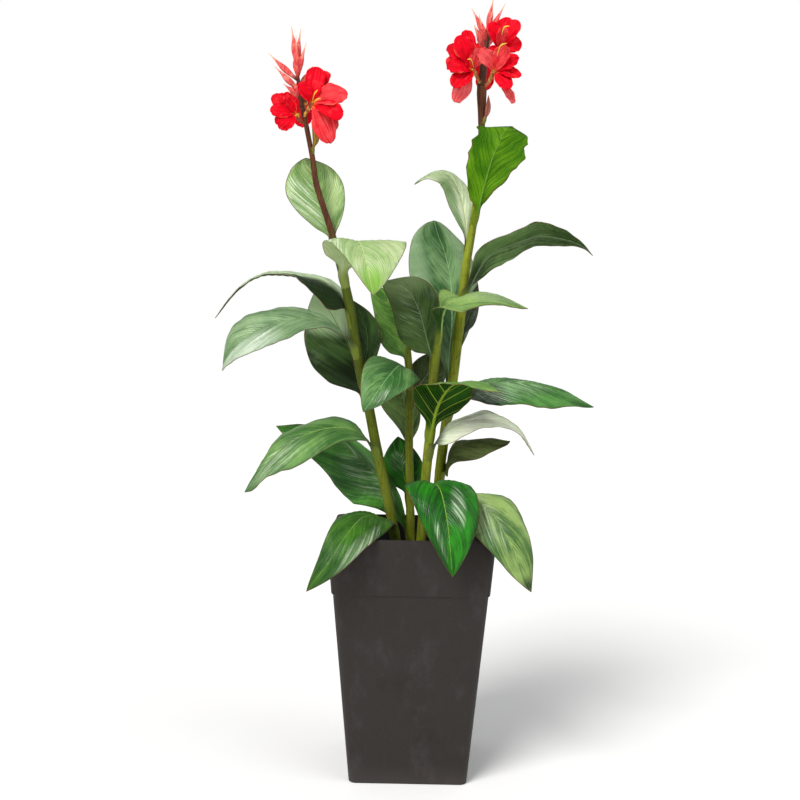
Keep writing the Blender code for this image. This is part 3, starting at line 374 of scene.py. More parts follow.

# Each leaf's looks, with colours in the 0 to 255 steps of a screen: the dark and light of its upper
# face and of its underside, its midrib, its side veins and how strongly they show. Where a leaf
# differs from the usual it also has:
#   gap, bold, slant      distance, breadth and slant of the side veins
#   rib_wide, edge_wide   how much wider the midrib or the brown margin is
#   fleck, sheen          strength of the short flecks, and specular strength
#   blunt, ragged         power of the outline near the tip, and depth of its nicks
#   outline               factors on the half width, left then right, as place along and factor
#   patches               painted shade, painted sheen and some own tone: face, across, along, reach across, reach along, strength and colour
#   painted_highlight     pale painted highlights: across, along, reach across, reach along and strength
LOOKS = {
    "leaf_left_upright": dict(
        upper=((112, 155, 82), (185, 213, 152)), under=((110, 140, 90), (160, 185, 135)),
        rib=(190, 212, 160), vein=(120, 158, 96), show=0.35, edge_wide=1.4, fleck=0.35,
        painted_highlight=[(0.2, 0.45, 0.35, 0.35, 0.7)]),
    "leaf_left_pale": dict(
        upper=((150, 184, 120), (202, 216, 176)), under=((190, 214, 160), (226, 238, 200)),
        rib=(196, 216, 146), vein=(168, 196, 124), show=0.3, rib_wide=1.5, fleck=0.25,
        patches=[("upper", 0.5, 1.0, 0.6, 0.26, 0.8, (134, 190, 56))],
        painted_highlight=[(0.95, 0.55, 0.2, 0.2, 0.7)]),
    "leaf_left_arching": dict(
        upper=((178, 206, 172), (226, 244, 218)), under=((28, 46, 20), (56, 78, 42)),
        rib=(130, 150, 110), vein=(120, 140, 110), show=0.3, sheen=0.2,
        outline=([(0, 1), (0.55, 1), (0.75, 1.4), (0.95, 1.5), (1, 1)],
                 [(0, 1), (0.55, 1), (0.75, 1.4), (0.95, 1.5), (1, 1)]),
        patches=[("upper", 0.18, 0.16, 0.46, 0.42, 1.0, (22, 44, 8))]),
    "leaf_left_glossy": dict(
        upper=((84, 124, 86), (158, 188, 148)), under=((40, 66, 44), (70, 100, 70)),
        rib=(140, 170, 120), vein=(110, 146, 100), show=0.35,
        outline=([(0, 1), (1, 1)],
                 [(0, 1), (0.2, 0.84), (0.45, 0.8), (0.62, 0.92), (0.8, 1.25), (0.9, 1.6),
                  (0.97, 1.8), (1, 1)]),
        patches=[("upper", 0.08, 0.8, 0.32, 0.32, 0.7, (184, 204, 190))],
        painted_highlight=[(0.15, 0.74, 0.4, 0.26, 0.95)]),
    "leaf_left_broad": dict(
        upper=((22, 46, 16), (70, 104, 50)), under=((30, 48, 30), (60, 80, 56)),
        rib=(120, 128, 70), vein=(92, 104, 66), show=0.4, sheen=0.2,
        patches=[("upper", 0.55, 0.96, 0.8, 0.42, 1.0, (206, 238, 190)),
                 ("upper", 0.5, 0.1, 0.6, 0.3, 0.7, (16, 34, 10))],
        painted_highlight=[(0.6, 0.75, 0.4, 0.25, 0.4)]),
    "leaf_left_behind": dict(
        upper=((20, 44, 8), (60, 92, 40)), under=((30, 46, 30), (60, 80, 56)),
        rib=(90, 110, 70), vein=(70, 96, 64), show=0.3, sheen=0.2),
    "leaf_centre_drooping": dict(
        upper=((54, 106, 46), (136, 184, 116)), under=((30, 60, 36), (70, 100, 66)),
        rib=(140, 190, 130), vein=(90, 140, 90), show=0.35,
        patches=[("upper", 0.9, 0.2, 0.6, 0.5, 0.6, (44, 82, 44))],
        painted_highlight=[(0.25, 0.76, 0.16, 0.12, 1.0)]),
    "leaf_young_broad": dict(
        upper=((28, 56, 12), (78, 110, 48)), under=((40, 60, 42), (80, 100, 76)),
        rib=(140, 170, 130), vein=(140, 166, 120), show=0.5, sheen=0.2,
        patches=[("upper", 0.6, 0.95, 0.7, 0.35, 0.55, (122, 140, 104))],
        painted_highlight=[(0.35, 0.5, 0.3, 0.3, 0.15)]),
    "leaf_centre_upright": dict(
        upper=((66, 122, 36), (140, 190, 92)), under=((36, 70, 34), (80, 120, 66)),
        rib=(120, 160, 90), vein=(96, 136, 76), show=0.3),
    "leaf_right_tall": dict(
        upper=((44, 92, 42), (138, 176, 126)), under=((40, 66, 44), (80, 110, 80)),
        rib=(160, 204, 156), vein=(100, 146, 106), show=0.35, rib_wide=1.3,
        patches=[("upper", 0.9, 0.6, 0.28, 0.5, 0.55, (150, 176, 146)),
                 ("upper", 0.0, 0.55, 0.3, 0.5, 0.8, (150, 182, 146))],
        painted_highlight=[(0.13, 0.52, 0.2, 0.1, 1.0)]),
    "leaf_young_bright": dict(
        upper=((62, 118, 26), (149, 190, 92)), under=((26, 62, 10), (66, 116, 36)),
        rib=(176, 206, 130), vein=(214, 234, 182), show=0.9, gap=0.013, slant=1.0, bold=0.55,
        patches=[("upper", 0.5, 0.0, 0.9, 0.15, 1.0, (44, 78, 18)),
                 ("under", 0.5, 0.0, 1.2, 0.3, 1.0, (40, 80, 14))],
        painted_highlight=[(0.5, 0.7, 0.5, 0.3, 0.4)]),
    "leaf_right_narrow": dict(
        upper=((36, 52, 36), (84, 100, 80)), under=((36, 50, 36), (70, 86, 66)),
        rib=(96, 120, 80), vein=(76, 96, 70), show=0.3),
    "leaf_right_long": dict(
        upper=((93, 129, 84), (152, 182, 138)), under=((56, 88, 30), (138, 178, 110)),
        rib=(110, 130, 96), vein=(22, 38, 12), show=1.0, gap=0.022, bold=0.30, slant=1.1,
        fleck=0.3,
        patches=[("under", 0.5, 0.04, 0.8, 0.24, 0.85, (26, 46, 12)),
                 ("under", 0.5, 0.8, 0.9, 0.34, 0.45, (40, 64, 22)),
                 ("upper", 0.3, 0.4, 0.4, 0.3, 0.6, (150, 176, 140))],
        painted_highlight=[(0.3, 0.5, 0.4, 0.4, 0.5)]),
    "leaf_right_nodding": dict(
        upper=((172, 198, 152), (240, 250, 226)), under=((84, 138, 74), (140, 184, 118)),
        rib=(230, 236, 196), vein=(130, 156, 124), show=0.3, rib_wide=1.6, blunt=0.45,
        patches=[("upper", 0.1, 0.35, 0.25, 0.5, 0.7, (96, 138, 78)),
                 ("upper", 0.5, 1.0, 1.2, 0.12, 0.9, (70, 112, 64))],
        painted_highlight=[(0.5, 0.4, 0.4, 0.3, 0.5)]),
    "leaf_right_top": dict(
        upper=((58, 108, 7), (104, 156, 23)), under=((58, 108, 7), (100, 152, 21)),
        rib=(104, 150, 60), vein=(20, 58, 4), show=1.0, gap=0.0235, bold=0.885, ragged=0.34,
        edge_wide=1.6, blunt=0.22, slant=0.50, sheen=0.12, fleck=0.22,
        outline=([(0, 0.5), (0.12, 0.62), (0.25, 0.85), (0.4, 1.06), (0.52, 0.96), (0.7, 1.02),
                  (0.78, 0.86), (0.85, 0.98), (1, 1)],
                 [(0, 1), (0.55, 1), (0.78, 1.1), (0.9, 1.4), (0.96, 1.75), (1, 1.75)])),
    "leaf_right_outer": dict(
        upper=((34, 90, 22), (96, 158, 78)), under=((40, 64, 40), (120, 140, 112)),
        rib=(120, 160, 100), vein=(80, 126, 80), show=0.35,
        patches=[("upper", 0.92, 0.22, 0.6, 0.26, 1.0, (8, 42, 10))],
        painted_highlight=[(0.6, 0.45, 0.4, 0.3, 0.3)]),
    "leaf_young_veined": dict(
        upper=((70, 124, 58), (130, 172, 104)), under=((0, 40, 0), (14, 78, 6)),
        rib=(150, 176, 60), vein=(150, 176, 60), show=1.0, gap=0.034, bold=0.86, rib_wide=1.6,
        slant=0.20, sheen=0.2),
    "leaf_young_slender": dict(
        upper=((232, 242, 220), (255, 255, 255)), under=((226, 236, 210), (252, 255, 244)),
        rib=(190, 205, 160), vein=(150, 172, 130), show=0.3, fleck=0.3,
        patches=[("upper", 0.1, 0.5, 0.2, 0.8, 0.35, (150, 176, 124)),
                 ("under", 0.5, 0.0, 1.2, 0.22, 0.9, (44, 74, 30)),
                 ("upper", 0.5, 0.0, 1.2, 0.22, 0.9, (44, 74, 30))],
        painted_highlight=[(0.5, 0.5, 0.5, 0.5, 0.6)]),
    "leaf_right_striped": dict(
        upper=((52, 69, 28), (117, 132, 80)), under=((50, 68, 18), (100, 116, 52)),
        rib=(110, 110, 84), vein=(120, 118, 98), show=0.6, sheen=0.2),
    "leaf_centre_pale": dict(
        upper=((56, 72, 34), (100, 118, 68)), under=((52, 70, 30), (90, 108, 58)),
        rib=(140, 150, 120), vein=(110, 124, 96), show=0.3, sheen=0.2),
    "leaf_centre_behind": dict(
        upper=((80, 106, 50), (134, 168, 98)), under=((24, 42, 26), (60, 84, 56)),
        rib=(90, 110, 70), vein=(64, 86, 58), show=0.3),
    "leaf_left_low": dict(
        upper=((50, 103, 40), (126, 172, 96)), under=((44, 76, 40), (90, 120, 76)),
        rib=(150, 180, 100), vein=(104, 150, 84), show=0.35,
        painted_highlight=[(0.3, 0.75, 0.4, 0.3, 0.6)]),
    "leaf_centre_low": dict(
        upper=((42, 104, 30), (108, 190, 78)), under=((26, 46, 26), (60, 84, 50)),
        rib=(110, 140, 80), vein=(66, 100, 56), show=0.3,
        painted_highlight=[(0.5, 0.4, 0.4, 0.3, 0.4)]),
    "leaf_centre_inner": dict(
        upper=((4, 66, 2), (50, 134, 24)), under=((34, 56, 32), (70, 96, 60)),
        rib=(110, 150, 80), vein=(80, 110, 66), show=0.3, sheen=0.2,
        painted_highlight=[(0.4, 0.6, 0.3, 0.2, 0.5)]),
    "leaf_planter_left": dict(
        upper=((24, 78, 8), (74, 130, 34)), under=((40, 70, 36), (80, 110, 66)),
        rib=(130, 170, 90), vein=(86, 132, 66), show=0.35,
        painted_highlight=[(0.1, 0.62, 0.2, 0.26, 0.6)]),
    "leaf_planter_front": dict(
        upper=((4, 66, 2), (40, 146, 16)), under=((26, 66, 32), (60, 100, 50)),
        rib=(150, 186, 76), vein=(64, 132, 60), show=0.6, sheen=0.26,
        outline=([(0, 1), (1, 1)],
                 [(0, 1), (0.08, 1.28), (0.3, 1.35), (0.6, 1.1), (1, 1)]),
        painted_highlight=[(0.72, 0.8, 0.1, 0.14, 0.7), (0.3, 0.6, 0.12, 0.18, 0.4)]),
    "leaf_planter_right": dict(
        upper=((62, 106, 48), (166, 196, 118)), under=((44, 76, 40), (90, 120, 76)),
        rib=(160, 190, 120), vein=(100, 136, 84), show=0.35,
        patches=[("upper", 0.5, 1.03, 0.9, 0.12, 0.9, (24, 54, 26)),
                 ("upper", 0.75, 0.35, 0.2, 0.16, 0.5, (54, 92, 52))],
        painted_highlight=[(0.7, 0.4, 0.4, 0.4, 0.5)]),
    "bract_left": dict(
        upper=((150, 116, 44), (206, 178, 84)), under=((150, 116, 44), (200, 170, 80)),
        rib=(170, 130, 60), vein=(150, 110, 50), show=0.3),
    "bract_right": dict(
        upper=((196, 96, 92), (240, 160, 150)), under=((190, 96, 90), (236, 156, 146)),
        rib=(150, 80, 70), vein=(140, 70, 60), show=0.3),
}

# Each head, in millimetres: its axis, which stands on the end of its stalk, then its buds as root,
# tip and radius
HEADS = {
    "buds_left": dict(
        axis=[(-254.3, 0, 1440.2, 4.9), (-260, 0, 1480, 5), (-266, 0, 1515, 4.5),
              (-268, 0, 1545, 3)],
        buds=[
            ((-268, 0, 1530), (-279, -4, 1614), 7.0), ((-266, 0, 1524), (-260, 6, 1612), 6.5),
            ((-264, 0, 1498), (-268, -14, 1592), 7.0), ((-264, 0, 1505), (-246, -8, 1578), 6.0),
            ((-266, 0, 1500), (-328, -6, 1555), 6.5), ((-262, 0, 1478), (-315, -10, 1527), 6.5),
            ((-258, 0, 1460), (-298, 8, 1494), 6.0), ((-258, 0, 1466), (-282, -4, 1500), 5.5),
            ((-266, 0, 1508), (-276, 34, 1572), 6.0), ((-262, 0, 1484), (-236, 34, 1540), 6.0),
        ]),
    "buds_right": dict(
        axis=[(138, 20, 1497.2, 10.2), (138.4, 20, 1507, 8.8), (141, 20, 1540, 6.5),
              (147, 20, 1590, 5), (149, 20, 1625, 3.5)],
        buds=[
            ((148, 20, 1610), (160, 16, 1690), 6.5), ((147, 20, 1596), (112, 12, 1664), 6.5),
            ((148, 20, 1600), (186, 14, 1676), 6.0), ((147, 20, 1592), (128, 6, 1648), 6.5),
            ((148, 20, 1602), (158, 4, 1658), 6.0), ((146, 20, 1574), (118, -2, 1618), 6.0),
            ((146, 20, 1586), (120, 48, 1640), 6.0), ((146, 20, 1580), (174, 50, 1636), 6.0),
        ]),
}

# Each bloom, in millimetres: its throat, the foot of its tube near the stalk, then its petals as
# tip, direction that the inner face looks in, half width and curl back
BLOOMS = {
    "bloom_left_front": dict(
        throat=(-231, -16, 1445), foot=(-247, -9, 1424), petals=[
            ((-221, -24, 1520), (0, -1, 0.1), 23, 8), ((-203, -2, 1520), (0, -1, 0.2), 18, 7),
            ((-159, -34, 1466), (-0.2, -1, 0.3), 27, 8), ((-167, -54, 1413), (0, -1, 0.4), 21, 8),
            ((-180, -30, 1390), (0, -1, 0.3), 20, 7), ((-188, -44, 1362), (0.1, -1, 0.2), 24, 8),
            ((-254, -40, 1482), (0, -1, 0.1), 13, 5),
        ]),
    "bloom_left_side": dict(
        throat=(-264, -14, 1421), foot=(-258, -9, 1410), petals=[
            ((-315, -22, 1460), (0, -1, 0.2), 17, 5), ((-316, -34, 1428), (0, -1, 0.2), 18, 5),
            ((-308, -24, 1406), (0, -1, 0.2), 17, 5), ((-297, -38, 1390), (0.1, -1, 0.2), 18, 5),
            ((-286, -36, 1462), (0, -1, 0.1), 11, 4),
        ]),
    "bloom_left_back": dict(
        throat=(-252, 24, 1456), foot=(-253, 10, 1436), petals=[
            ((-270, 60, 1505), (0, 1, 0.4), 22, 7), ((-222, 62, 1486), (0, 1, 0.4), 22, 7),
            ((-262, 66, 1420), (0, 1, 0.4), 22, 7), ((-292, 56, 1458), (0, 1, 0.4), 20, 7),
        ]),
    "bloom_right_side": dict(
        throat=(117, 0, 1527), foot=(130, 9, 1508), petals=[
            ((102, 4, 1614), (0, -1, 0.1), 17, 6), ((64, -10, 1576), (0, -1, 0.2), 17, 6),
            ((84, -24, 1590), (0, -1, 0.1), 22, 6), ((60, 6, 1552), (0, -1, 0.2), 15, 5),
            ((64, -30, 1526), (0, -1, 0.3), 22, 7), ((76, -38, 1486), (0, -1, 0.3), 22, 7),
            ((80, -14, 1458), (0.2, -1, 0.3), 19, 6), ((127, -34, 1560), (0, -1, 0.1), 14, 5),
        ]),
    "bloom_right_top": dict(
        throat=(172, -4, 1570), foot=(155, 10, 1546), petals=[
            ((154, -24, 1621), (0, -1, 0.1), 14, 5), ((190, -8, 1637), (0, -1, 0.2), 21, 6),
            ((208, -24, 1625), (-0.1, -1, 0.2), 21, 6), ((217, -16, 1582), (-0.1, -1, 0.1), 19, 6),
            ((178, -40, 1604), (0, -1, 0), 12, 4),
        ]),
    "bloom_right_low": dict(
        throat=(162, -14, 1519), foot=(150, 4, 1500), petals=[
            ((131, -52, 1554), (0, -1, 0.4), 18, 6), ((182, -52, 1560), (0, -1, 0.3), 18, 6),
            ((207, -40, 1545), (0, -1, 0.3), 19, 6), ((214, -42, 1508), (0, -1, 0.4), 15, 6),
            ((192, -46, 1480), (0, -1, 0.3), 18, 6), ((205, -24, 1453), (0.1, -1, 0.2), 10, 4),
        ]),
    "bloom_right_back": dict(
        throat=(146, 44, 1556), foot=(145, 31, 1540), petals=[
            ((124, 82, 1600), (0, 1, 0.4), 22, 7), ((182, 80, 1596), (0, 1, 0.4), 22, 7),
            ((150, 88, 1512), (0, 1, 0.4), 22, 7), ((108, 78, 1552), (0, 1, 0.4), 20, 7),
        ]),
}

# Petals that are paler than their neighbours, by bloom and by place in its list
PALE_PETALS = {
    "bloom_left_front": {2: 0.25, 4: 0.22, 5: 0.26},
    "bloom_right_side": {3: 0.2, 6: 0.85, 7: 0.4},
    "bloom_right_top": {4: 0.2},
    "bloom_right_low": {0: 0.45, 1: 0.3, 5: 0.7},
}

# Stamens as root, middle, tip and radius, in millimetres, by bloom
STAMENS = {
    "bloom_left_front": [
        ((-231, -20, 1445), (-224, -42, 1458), (-216, -50, 1466), 0.8),
        ((-231, -20, 1445), (-220, -44, 1446), (-209, -51, 1448), 0.8),
    ],
    "bloom_right_top": [((172, -8, 1580), (178, -44, 1603), (190, -50, 1606), 0.8)],
    "bloom_right_low": [((164, -30, 1540), (170, -60, 1560), (184, -62, 1566), 0.8)],
    "bloom_right_side": [((117, -14, 1529), (110, -44, 1536), (101, -48, 1535), 0.7)],
}

# A leaf's paint as a share of its colour in the photograph, for red, green and blue
LEAF_TONE = (0.86, 0.88, 0.74)


def screen(colour):
    """A colour in the 0 to 255 steps of a screen, as linear light."""
    return tuple(
        ((c / 255 + 0.055) / 1.055) ** 2.4 if c > 10 else c / 3294.6 for c in colour
    ) + (1.0,)


def leaf_tone(colour):
    """A leaf's colour as seen in the photograph, as the paint that gives it in this light."""
    return tuple(c * tone for c, tone in zip(screen(colour), LEAF_TONE)) + (1.0,)


def paint(name):
    return screen(PAINTS[name])


# Shader maths
class Value:
    """A number that varies over a surface; arithmetic on it adds Math nodes."""

    def __init__(self, net, socket):
        self.net = net
        self.socket = socket

    def __add__(self, other):
        return self.net.maths("ADD", self, other)

    def __radd__(self, other):
        return self.net.maths("ADD", other, self)

    def __sub__(self, other):
        return self.net.maths("SUBTRACT", self, other)

    def __rsub__(self, other):
        return self.net.maths("SUBTRACT", other, self)

    def __mul__(self, other):
        return self.net.maths("MULTIPLY", self, other)

    def __truediv__(self, other):
        return self.net.maths("DIVIDE", self, other)

    def __pow__(self, other):
        return self.net.maths("POWER", self, other)

    def __abs__(self):
        return self.net.maths("ABSOLUTE", self)


class Net:
    """The nodes of one material."""

    def __init__(self, name, roughness, specular=0.5):
        self.material = bpy.data.materials.new(name)
        self.material.use_nodes = True
        self.tree = self.material.node_tree
        self.shader = self.tree.nodes["Principled BSDF"]
        self.shader.inputs["Roughness"].default_value = roughness
        self.shader.inputs["Specular IOR Level"].default_value = specular

    def node(self, kind, settings=None, sockets=None, output=0):
        made = self.tree.nodes.new(kind)
        for key, value in (settings or {}).items():
            setattr(made, key, value)
        for key, value in (sockets or {}).items():
            self.feed(made.inputs[key], value)
        return Value(self, made.outputs[output])

    def feed(self, socket, value):
        if isinstance(value, Value):
            self.tree.links.new(value.socket, socket)
        else:
            socket.default_value = value

    def maths(self, operation, a, b=0.0):
        return self.node("ShaderNodeMath", {"operation": operation}, {0: a, 1: b})

    def clamp(self, value):
        settings = {"operation": "ADD", "use_clamp": True}
        return self.node("ShaderNodeMath", settings, {0: value, 1: 0.0})

    def step(self, value, low, high):
        """A smooth rise from 0 to 1 between low and high."""
        sockets = {0: value, 1: low, 2: high}
        return self.node("ShaderNodeMapRange", {"interpolation_type": "SMOOTHSTEP"}, sockets)

    def mix(self, share, a, b):
        return self.node("ShaderNodeMix", {"data_type": "RGBA"}, {0: share, 6: a, 7: b}, 2)

    def vector(self, x, y, z=0.0):
        return self.node("ShaderNodeCombineXYZ", None, {0: x, 1: y, 2: z})

    def noise(self, place, scale, detail=2.0, rough=0.5):
        sockets = {"Vector": place, "Scale": scale, "Detail": detail, "Roughness": rough}
        return self.node("ShaderNodeTexNoise", None, sockets)

    def here(self):
        return self.node("ShaderNodeTexCoord", None, None, 3)

    def split(self, vector):
        """The three parts of a vector."""
        parts = self.node("ShaderNodeSeparateXYZ", None, {0: vector})
        return [Value(self, socket) for socket in parts.socket.node.outputs]

    def map(self, name):
        return self.split(self.node("ShaderNodeUVMap", {"uv_map": name}))[:2]

    def attribute(self, name):
        return self.node("ShaderNodeAttribute", {"attribute_name": name}, None, 2)

    def bump(self, height, depth, strength):
        sockets = {"Strength": strength, "Distance": depth, "Height": height}
        self.feed(self.shader.inputs["Normal"], self.node("ShaderNodeBump", None, sockets))

    def finish(self, colour, roughness=None):
        self.feed(self.shader.inputs["Base Color"], colour)
        if roughness is not None:
            self.feed(self.shader.inputs["Roughness"], roughness)
        return self.material


# Settings
def length_setting(name, description, default, least=0.0):
    return FloatProperty(
        name=name, description=description, default=default, min=least, unit="LENGTH"
    )


def colour_setting(name, description, default):
    return FloatVectorProperty(
        name=name, description=description, default=default, subtype="COLOR", min=0.0, max=1.0
    )


def strength_setting(name, description, default):
    return FloatProperty(name=name, description=description, default=default, min=0.0)


def count_setting(name, description, default, least, most):
    return IntProperty(name=name, description=description, default=default, min=least, max=most)


class LeafSettings(bpy.types.PropertyGroup):
    """Sizes and gloss of the leaves"""

    thickness: length_setting(
        "Blade thickness", "Thickness of a leaf away from its midrib", 0.0008, 0.0003)
    rib: length_setting(
        "Midrib thickness", "Thickness of a leaf at the start of its midrib", 0.0036, 0.001)
    vein_gap: length_setting(
        "Vein gap", "Distance between two side veins at the midrib", 0.0085, 0.003)
    pleat: length_setting(
        "Pleat depth", "Depth of the soft pleats that follow the side veins", 0.0006)
    roughness: FloatProperty(
        name="Roughness", description="Roughness of a leaf's upper face",
        default=0.31, min=0.05, max=1.0, subtype="FACTOR")
    rows: count_setting("Rows", "Rows of faces along a leaf", 96, 24, 200)
    columns: count_setting("Columns", "Columns of faces across a leaf", 26, 8, 60)


class BloomSettings(bpy.types.PropertyGroup):
    """Sizes and colours of the flower heads"""

    thickness: length_setting("Petal thickness", "Thickness of a petal", 0.0008, 0.0003)
    ruffle: length_setting("Ruffle", "Height of the ruffles along a petal's edge", 0.0022)
    petal: colour_setting("Petal colour", "Main colour of a petal", screen((240, 2, 34))[:3])
    shade: colour_setting(
        "Petal shade", "Deep colour along a petal's veins", screen((176, 0, 18))[:3])
    throat: colour_setting(
        "Throat colour", "Colour of a petal at its root", screen((232, 170, 50))[:3])
    bud: colour_setting("Bud colour", "Main colour of a bud", screen((236, 104, 94))[:3])


class StemSettings(bpy.types.PropertyGroup):
    """Colours of the stems"""

    green: colour_setting("Green", "Colour of a leafy stem", screen((118, 128, 22))[:3])
    brown: colour_setting("Brown", "Colour of a flower stalk", screen((98, 60, 36))[:3])
    sides: count_setting("Sides", "Faces round a stem", 28, 8, 64)
    sheath: length_setting(
        "Sheath step", "Height of the edge where a leaf's sheath ends", 0.0006)


class PlanterSettings(bpy.types.PropertyGroup):
    """Finish of the planter and the soil"""

    colour: colour_setting(
        "Planter colour", "Main colour of the planter", screen((36, 30, 26))[:3])
    rounding: length_setting(
        "Rim rounding", "Radius of the rim's and the band's edges", 0.0016, 0.0002)
    crumbs: count_setting("Crumbs", "Loose crumbs on the soil", 900, 0, 3000)


class StageSettings(bpy.types.PropertyGroup):
    """Floor and light"""

    floor: colour_setting("Floor colour", "Colour of the floor", (0.93, 0.93, 0.93))
    key: strength_setting(
        "Key light", "Strength of the wide light from the upper left", 3.0)
    fill: strength_setting("Fill light", "Strength of the wide light from the right", 0.8)
    sky: strength_setting("Room light", "Strength of the light from all round", 0.45)


def settings():
    return bpy.context.scene.canna


# Curves
def spline(points, count):
    """Even steps along a smooth curve through the points."""
    steps = 48
    pts = [2 * points[0] - points[1], *points, 2 * points[-1] - points[-2]]
    fine = []
    for i in range(1, len(pts) - 2):
        a, b, c, d = pts[i - 1 : i + 3]
        for k in range(steps):
            u = k / steps
            bend = (2 * a - 5 * b + 4 * c - d) * u * u + (3 * b - a - 3 * c + d) * u**3
            fine.append(0.5 * (2 * b + (c - a) * u + bend))
    fine.append(points[-1].copy())
    length = [0.0]
    for p, q in zip(fine, fine[1:]):
        length.append(length[-1] + (q - p).length)
    out, j = [], 0
    for k in range(count):
        want = length[-1] * k / (count - 1)
        while j < len(fine) - 2 and length[j + 1] < want:
            j += 1
        span = length[j + 1] - length[j]
        out.append(fine[j].lerp(fine[j + 1], (want - length[j]) / span if span else 0))
    return out


def clamped(t):
    return min(max(t, 0), 1)


def smooth_step(t):
    t = min(max(t, 0.0), 1.0)
    return t * t * (3 - 2 * t)


def along_table(table, t):
    """The value at t on straight lines between the table's pairs."""
    for low, high in zip(table, table[1:]):
        if t <= high[0]:
            return low[1] + (high[1] - low[1]) * (t - low[0]) / (high[0] - low[0])
    return table[-1][1]


def stem_at(name, height):
    """Centre and radius of a stem at a height, in metres."""
    rows = STEMS[name]
    for low, high in zip(rows, rows[1:]):
        if low[2] * MM <= height <= high[2] * MM:
            u = (height / MM - low[2]) / (high[2] - low[2])
            centre = Vector(low[:3]).lerp(Vector(high[:3]), u) * MM
            return centre, (low[3] + (high[3] - low[3]) * u) * MM
    raise ValueError("no such height on " + name)


def clear_of_stem(name, point, gap):
    """Moves a point that falls in a stem, or nearer to it than the gap, straight out of it."""
    rows = STEMS[name]
    above_top = 4
    if not rows[0][2] * MM < point.z < (rows[-1][2] + above_top) * MM:
        return point
    centre, radius = stem_at(name, min(point.z, rows[-1][2] * MM))
    away = Vector((point.x - centre.x, point.y - centre.y, 0))
    room = radius + gap + BLADE / 2
    if away.length >= room:
        return point
    return Vector((centre.x, centre.y, point.z)) + away.normalized() * room


def shown_as(obj, name):
    """The piece stands for a CAD node and rides on its body."""
    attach(obj, "root")
    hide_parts(name)


def new_object(name, bm, materials):
    mesh = bpy.data.meshes.new(name)
    bm.to_mesh(mesh)
    bm.free()
    obj = bpy.data.objects.new(name, mesh)
    bpy.context.scene.collection.objects.link(obj)
    for look in materials:
        mesh.materials.append(look)
    for face in mesh.polygons:
        face.use_smooth = True
    return obj


def apply_modifiers(obj):
    graph = bpy.context.evaluated_depsgraph_get()
    obj.data = bpy.data.meshes.new_from_object(obj.evaluated_get(graph))
    obj.modifiers.clear()


